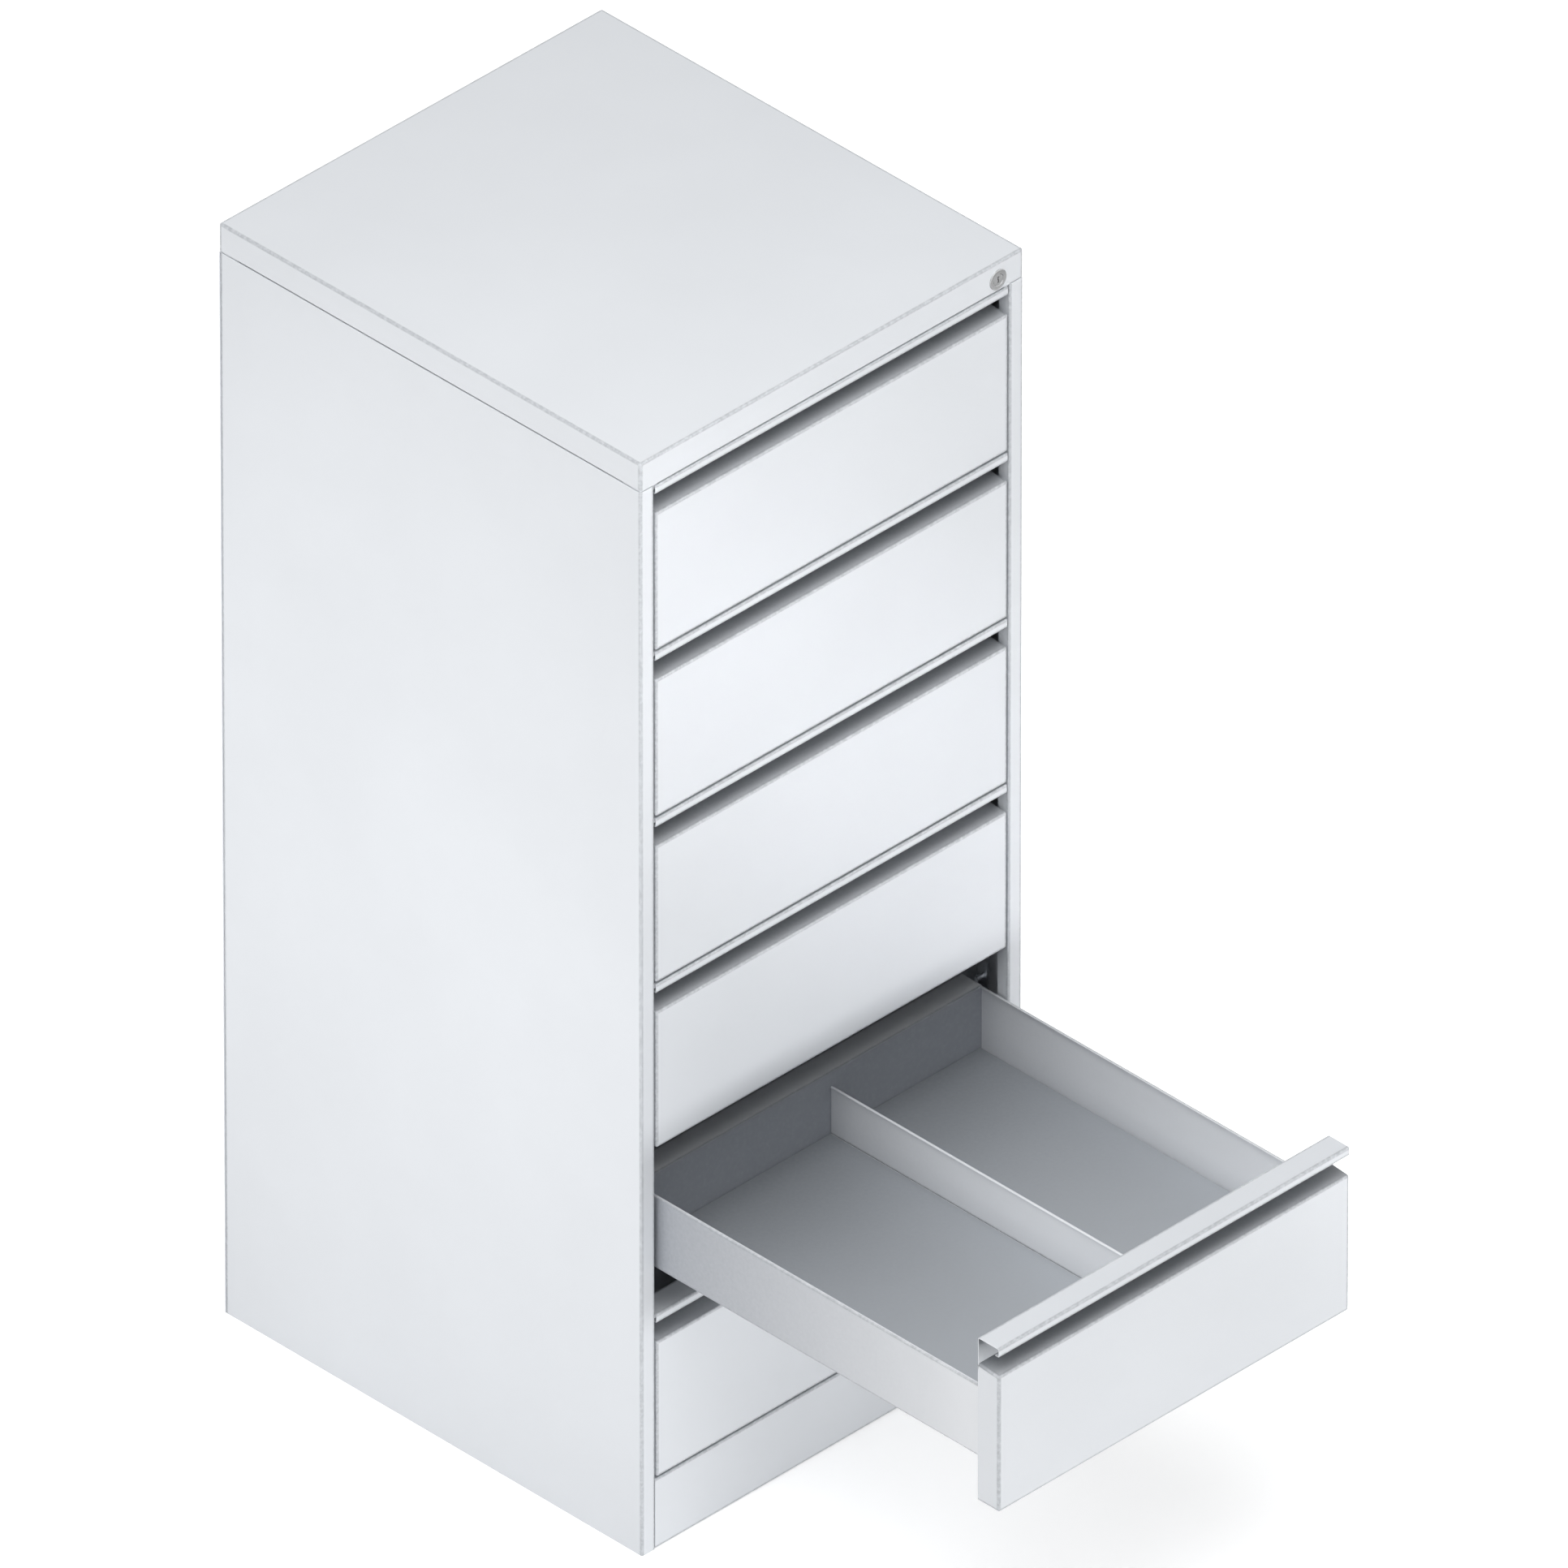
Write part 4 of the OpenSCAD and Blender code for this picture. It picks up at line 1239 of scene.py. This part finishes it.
@dataclass
class Runners:
    """What carries the drawers in the cabinet: shelves, outer slide members and rubber stops.

    The nose of a stop gives shares of its radius, and distances from its tip in millimetres.
    """

    shop: Workshop
    stops: int = DRAWERS
    nose: tuple[Point, ...] = ((0.45, 0.2), (0.68, 0.9), (0.78, 2.0), (0.86, 2.6), (0.97, 3.2), (1.0, 4.0))

    def build(self) -> None:
        """Builds the shelves, outer members and stops."""
        self.shop.ease(Finish.ZINC, "cabinet", 0.3, "rail_carriers")
        self.shop.dress(Finish.STEEL, "fixed_rails")
        self.buffers()

    def buffers(self) -> None:
        """Builds the rubber stops, one behind each slide."""
        lo, hi = extent("stop_buffers")
        pitch = extent("drawer_1_front")[1].z - extent("drawer_2_front")[1].z
        radius = (hi.z - lo.z - (self.stops - 1) * pitch) / 2
        length = hi.y - lo.y
        round_nose = [(radius * share, -length + run) for share, run in self.nose]
        stud = Shell()
        stud.revolve(Axis.Y, (0.0, 0.0), [(0.0, -length), *round_nose, (radius, -0.8), (radius - 0.6, 0.0),
                                          (0.0, 0.0)], sides=32)
        grid = FittingGrid(2, self.stops, Vector((lo.x + radius, hi.y, lo.z + radius)),
                           Vector((hi.x - lo.x - 2 * radius, 0, 0)), Vector((0, 0, pitch)))
        mesh = grid.spread(stud.mesh("buffer"), self.shop.finishes.material(Finish.RUBBER), "buffers")
        self.shop.piece("rubber_stops", mesh, Finish.RUBBER, "cabinet", "stop_buffers")


@dataclass
class Base:
    """The welded ring under the cabinet and the feet that level it. Lengths are in millimetres."""

    shop: Workshop
    pad_r: float = 15.0
    stem_r: float = 4.0
    thread_pitch: float = 1.25
    thread_depth: float = 0.62
    thread_foot: float = 9.4
    thread_end: float = 2.5

    def build(self) -> None:
        """Builds the ring and the feet."""
        self.shop.dress(Finish.ZINC, "base_frame")
        self.feet()

    def feet(self) -> None:
        """Builds the levelling feet with their threaded stems."""
        lo, hi = extent("levelling_feet")
        pad, stem, top = self.pad_r, self.stem_r, hi.z
        profile = [(0.0, 0.0), (pad - 1.2, 0.0), (pad, 1.0), (pad, 5.0), (pad - 0.8, 5.8), (pad - 3, 6.0),
                   (9.0, 6.1), (stem + 0.6, 8.8)]
        z = self.thread_foot
        while z < top - self.thread_end:
            profile += [(stem, z), (stem - self.thread_depth, z + self.thread_pitch / 2)]
            z += self.thread_pitch
        profile += [(stem - 0.3, top - 1.4), (stem - 1.1, top - 0.2), (0.0, top - 0.2)]
        foot = Shell()
        foot.revolve(Axis.Z, (0.0, 0.0), profile, sides=32)
        grid = FittingGrid(2, 2, Vector((lo.x + pad, lo.y + pad, 0)), Vector((hi.x - lo.x - 2 * pad, 0, 0)),
                           Vector((0, hi.y - lo.y - 2 * pad, 0)))
        mesh = grid.spread(foot.mesh("foot"), self.shop.finishes.material(Finish.STEEL), "feet")
        self.shop.piece("threaded_feet", mesh, Finish.STEEL, "cabinet", "levelling_feet")


@dataclass
class Fasteners:
    """The screws that hold the back and the cover. Lengths are in millimetres.

    The dome gives shares of the head's radius, and heights. The cover's screws stand in two pairs, placed as
    shares of its width: the first screw, then the steps within a pair and between the pairs.
    """

    shop: Workshop
    head_r: float = 4.0
    head_h: float = 2.4
    dome: tuple[Point, ...] = ((0.82, 1.7), (0.55, 2.2), (0.25, 2.4))
    shank_r: float = 1.95
    shank_l: float = 9.0
    recess_share: float = 0.52
    recess_half: float = 0.45
    recess_run: Point = (1.0, 4.0)
    rows: int = 5
    margin: float = 55.0
    cover_start: float = -0.38
    cover_steps: Point = (0.25, 0.51)

    def screw(self) -> bpy.types.Mesh:
        """Makes one pan-head screw with a cross recess.

        Returns:
            Its mesh, in metres, with the head towards +Y.
        """
        head, shank, end = self.head_r, self.shank_r, -self.shank_l
        dome = [(head * share, run) for share, run in self.dome]
        body = Shell()
        body.revolve(Axis.Y, (0.0, 0.0), [(0.0, end), (shank * 0.5, end + 0.8), (shank, end + 2.2),
                                          (shank, 0.0), (head - 0.1, 0.0), (head, 0.35), (head - 0.1, 1.0),
                                          *dome, (0.0, self.head_h)], sides=32)
        cutter = Shell()
        arm, half = head * self.recess_share, self.recess_half
        for wide, tall in ((arm, half), (half, arm)):
            cutter.prism(Axis.Y, rectangle((-wide, -tall), (wide, tall)), *self.recess_run, ease=0.02)
        blank = new_object("screw_blank", body.mesh("screw"))
        recess = new_object("screw_recess", cutter.mesh("recess"))
        cut = blank.modifiers.new("recess", "BOOLEAN")
        cut.operation, cut.object, cut.solver = "DIFFERENCE", recess, "EXACT"
        mesh = bpy.data.meshes.new_from_object(blank.evaluated_get(bpy.context.evaluated_depsgraph_get()))
        for part in (blank, recess):
            bpy.data.objects.remove(part)
        return mesh

    def build(self) -> None:
        """Builds the back's screws and the cover's."""
        lo, hi = extent("panel_screws")
        _, panel_hi = extent("back_panel")
        cover_lo, cover_hi = extent("top_cover")
        head, face, width = self.head_r, panel_hi.y, 2 * cover_hi.x
        low_z, high_z = lo.z + head, panel_hi.z - self.margin
        zinc = self.shop.finishes.material(Finish.ZINC)
        back = FittingGrid(2, self.rows, Vector((lo.x + head, face, low_z)),
                           Vector((hi.x - lo.x - 2 * head, 0, 0)),
                           Vector((0, 0, (high_z - low_z) / (self.rows - 1))))
        self.shop.piece("back_and_cover_screws", back.spread(self.screw(), zinc, "back_screws"),
                        Finish.ZINC, "cabinet", "panel_screws")
        column, row = (Vector((step * width, 0, 0)) for step in self.cover_steps)
        start = Vector((self.cover_start * width, face, (cover_lo.z + cover_hi.z) / 2))
        cover = FittingGrid(2, 2, start, column, row)
        self.shop.piece("cover_screws", cover.spread(self.screw(), zinc, "cover_screws"), Finish.ZINC,
                        "cabinet")


@dataclass
class Lock:
    """The cam lock and the bar that it lifts. Lengths are in millimetres.

    The wards and the black plate that paints the keyway's shade run in from the plug's face. The wards' heights
    count from the lock's axis.
    """

    shop: Workshop
    rim_t: float = 1.5
    barrel_r: float = 9.0
    bore_r: float = 6.55
    key_w: float = 1.6
    key_h: float = 8.0
    ward_low: float = 0.5
    ward_high: float = 2.3
    ward_run: Point = (0.25, 6.0)
    shade_plate_run: Point = (0.9, 1.7)

    def build(self) -> None:
        """Builds the lock's barrel and rim, and dresses its plug, nut and bar."""
        lo, hi = extent("lock_housing")
        centre = ((lo.x + hi.x) / 2, (lo.z + hi.z) / 2)
        rim, barrel, bore = (hi.x - lo.x) / 2, self.barrel_r, self.bore_r
        shell = Shell()
        shell.revolve(Axis.Y, centre, [(bore, lo.y + 0.6), (bore + 0.6, lo.y), (rim - 1.4, lo.y),
                                       (rim - 0.6, lo.y + 0.2), (rim - 0.15, lo.y + 0.6),
                                       (rim, lo.y + self.rim_t - 0.2), (rim - 0.2, lo.y + self.rim_t),
                                       (barrel, lo.y + self.rim_t), (barrel, hi.y - 0.4),
                                       (barrel - 0.4, hi.y), (bore, hi.y)], sides=64, closed=True)
        self.shop.piece("lock_barrel", shell.mesh("barrel"), Finish.NICKEL, "cabinet", "lock_housing")
        self.shop.ease(Finish.NICKEL, "lock_cylinder", 0.35, "lock_plug")
        self.keyway(centre, extent("lock_plug")[0].y)
        self.shop.ease(Finish.STEEL, "cabinet", 0.4, "lock_nut")
        self.shop.ease(Finish.ZINC, "locking_bar", 0.25, "lock_bar")
        self.shop.ease(Finish.ZINC, "cabinet", 0.25, "lock_bar_guides")

    def keyway(self, centre: Point, face: float) -> None:
        """Builds the keyway's two wards, cut for its key to pass, and a black plate behind that paints its
        shade.

        Args:
            centre: The lock's axis, across and up.
            face: Where the plug's face is.
        """
        x, z = centre
        half_w, half_h = self.key_w / 2, self.key_h / 2
        low, high = self.ward_low, self.ward_high
        wards = Shell()
        for way, bottom, top in ((1, low, high), (-1, -high, -low)):
            near, far = sorted((x + way * 0.1, x + way * (half_w + NEAR)))
            ward = rectangle((near, z + bottom), (far, z + top))
            wards.prism(Axis.Y, ward, face + self.ward_run[0], face + self.ward_run[1], ease=0.05)
        self.shop.piece("keyway_wards", wards.mesh("wards"), Finish.NICKEL, "lock_cylinder")
        # A black rubber plate set in the keyway paints the shade inside it.
        shade_plate = Shell()
        plate = rectangle((x - half_w + NEAR, z - half_h + NEAR), (x + half_w - NEAR, z + half_h - NEAR))
        shade_plate.prism(Axis.Y, plate, face + self.shade_plate_run[0], face + self.shade_plate_run[1], ease=0.02)
        self.shop.piece("keyway_shade_plate", shade_plate.mesh("shade_plate"), Finish.RUBBER, "lock_cylinder")


# ------------------------------------------------------------------ studio

@dataclass(frozen=True)
class Softbox:
    """A square-cornered studio lamp.

    Attributes:
        name: The lamp's name.
        spot: Where it stands.
        aim: The point that it faces.
        size: Its width and height, in metres.
        power: Its power, in watts.
        roll: How far it is turned about its own axis, in degrees.
        spread: The angle that its grid lets light out at, in degrees.
        glossy: True if it shows in glossy surfaces.
    """

    name: str
    spot: Place
    aim: Place
    size: Point
    power: float
    roll: float = 0.0
    spread: float = 180.0
    glossy: bool = True

    def place(self) -> None:
        """Stands the lamp in the studio."""
        data = bpy.data.lights.new(self.name, "AREA")
        data.shape, data.energy = "RECTANGLE", self.power
        data.size, data.size_y = self.size
        data.spread = math.radians(self.spread)
        lamp = new_object(self.name, data)
        lamp.location = self.spot
        facing = (Vector(self.aim) - Vector(self.spot)).to_track_quat("-Z", "Y")
        lamp.rotation_euler = (facing @ Quaternion((0, 0, 1), math.radians(self.roll))).to_euler()
        lamp.visible_camera, lamp.visible_glossy = False, self.glossy


SOFTBOXES = (
    Softbox("overhead_softbox", (-1.1, -1.1, 4.4), (0.0, 0.0, 0.6), (3.6, 3.6), 148.0),
    Softbox("left_softbox", (-1.6, 0.1, 0.80), (-0.27, 0.0, 0.80), (1.5, 0.3), 11.0),
    Softbox("front_softbox", (0.1, -7.0, 0.30), (0.0, -0.3, 0.75), (4.1, 0.58), 213.0, glossy=False),
    Softbox("band_softbox", (0.0, -3.2, 1.0), (0.0, -0.3, 0.9), (3.2, 0.12), 0.75, roll=-45.0, spread=14.0,
            glossy=False),
    Softbox("right_softbox", (3.4, 0.6, 0.7), (0.27, 0.0, 0.7), (2.0, 1.2), 44.0, glossy=False),
    Softbox("back_softbox", (1.2, 4.2, 1.2), (0.0, 0.3, 0.7), (2.4, 1.6), 56.0, glossy=False),
)


@dataclass
class Studio:
    """A pale floor, soft even light, a white background and the camera.

    Angles are in degrees. The camera's distances and the floor's fade are in metres, and the lens and the
    floor's own size in millimetres.
    """

    turn: float = 44.847
    tilt: float = 34.986
    across: float = 0.163388
    up: float = 0.548249
    distance: float = 70.601
    lens: float = 1600.0
    floor_r: float = 9000.0
    floor_t: float = 5.0
    floor_colour: str = "#F0F0F0"
    floor_lift: float = 0.5
    fade_start: float = 1.6
    fade_end: float = 3.2
    sky_strength: float = 0.15

    def build(self) -> None:
        """Sets the studio up."""
        self.camera()
        self.floor()
        self.world()
        for softbox in SOFTBOXES:
            softbox.place()
        bpy.context.scene.view_settings.view_transform = "Standard"

    def camera(self) -> None:
        """Places the camera far off with a long lens, so that parallel edges stay parallel."""
        turn, tilt = math.radians(self.turn), math.radians(self.tilt)
        right = Vector((math.cos(turn), -math.sin(turn), 0))
        up = Vector((math.sin(turn) * math.sin(tilt), math.cos(turn) * math.sin(tilt), math.cos(tilt)))
        back = right.cross(up)
        data = bpy.data.cameras.new("camera")
        data.lens, data.sensor_width = self.lens, 36.0
        data.clip_start, data.clip_end = 1.0, 300.0
        camera = new_object("camera", data)
        turned = Matrix((right, up, back)).transposed().to_4x4()
        spot = right * self.across + up * self.up + back * self.distance
        camera.matrix_world = Matrix.Translation(spot) @ turned
        bpy.context.scene.camera = camera

    def floor(self) -> None:
        """Lays the floor: a pale sheet that keeps the cabinet's shadow and fades to white."""
        shell, edge, under = Shell(), self.floor_r, -self.floor_t
        shell.revolve(Axis.Z, (0.0, 0.0), [(0.0, 0.0), (edge, 0.0), (edge, under), (0.0, under)], sides=96)
        mesh = shell.mesh("floor")
        material, tree, coords = blank_material("studio_floor")
        ray = add_node(tree, "ShaderNodeLightPath").outputs["Is Camera Ray"]
        distance = add_node(tree, "ShaderNodeVectorMath", {0: coords}, operation="LENGTH")
        far = add_node(tree, "ShaderNodeMapRange", {"Value": distance.outputs["Value"],
                                                    "From Min": self.fade_start,
                                                    "From Max": self.fade_end})
        fade = add_node(tree, "ShaderNodeMath", {0: far.outputs["Result"], 1: ray}, operation="MULTIPLY")
        lift = add_node(tree, "ShaderNodeMath", {0: ray, 1: self.floor_lift}, operation="MULTIPLY")
        matt = add_node(tree, "ShaderNodeBsdfDiffuse", {"Color": linear(self.floor_colour)})
        glow = add_node(tree, "ShaderNodeEmission", {"Strength": lift.outputs["Value"]})
        near = add_node(tree, "ShaderNodeAddShader", {0: matt.outputs["BSDF"], 1: glow.outputs["Emission"]})
        white = add_node(tree, "ShaderNodeEmission", {"Strength": 1.0})
        shown = add_node(tree, "ShaderNodeMixShader", {0: fade.outputs["Value"], 1: near.outputs["Shader"],
                                                       2: white.outputs["Emission"]})
        add_node(tree, "ShaderNodeOutputMaterial", {"Surface": shown.outputs["Shader"]})
        mesh.materials.append(material)
        new_object("studio_floor", mesh)

    def world(self) -> None:
        """Lights the scene from all round, and shows white behind it."""
        world = bpy.data.worlds.new("studio")
        world.use_nodes = True
        tree = world.node_tree
        tree.nodes.clear()
        path = add_node(tree, "ShaderNodeLightPath").outputs
        seen = add_node(tree, "ShaderNodeMath", {0: path["Is Camera Ray"], 1: path["Is Glossy Ray"]},
                        operation="MAXIMUM")
        shown = add_node(tree, "ShaderNodeMath", {0: seen.outputs["Value"],
                                                  1: path["Is Transmission Ray"]}, operation="MAXIMUM")
        sky, white = (add_node(tree, "ShaderNodeBackground", {"Color": linear("#FFFFFF"), "Strength": power})
                      for power in (self.sky_strength, 1.0))
        mixed = add_node(tree, "ShaderNodeMixShader", {0: shown.outputs["Value"],
                                                       1: sky.outputs["Background"],
                                                       2: white.outputs["Background"]})
        add_node(tree, "ShaderNodeOutputWorld", {"Surface": mixed.outputs["Shader"]})
        bpy.context.scene.world = world


def main() -> None:
    """Builds the studio and the cabinet, piece by piece."""
    logging.basicConfig(level=logging.INFO, format="%(message)s")
    Studio().build()
    lo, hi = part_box("lock_housing")
    shop = Workshop(FinishBook(tuple((lo + hi) / 2)))
    Carcass(shop).build()
    for number in range(1, DRAWERS + 1):
        Drawer(shop, number).build()
    Runners(shop).build()
    Base(shop).build()
    Fasteners(shop).build()
    Lock(shop).build()
    log.info("%d pieces made", shop.pieces)


if __name__ == "__main__":
    main()
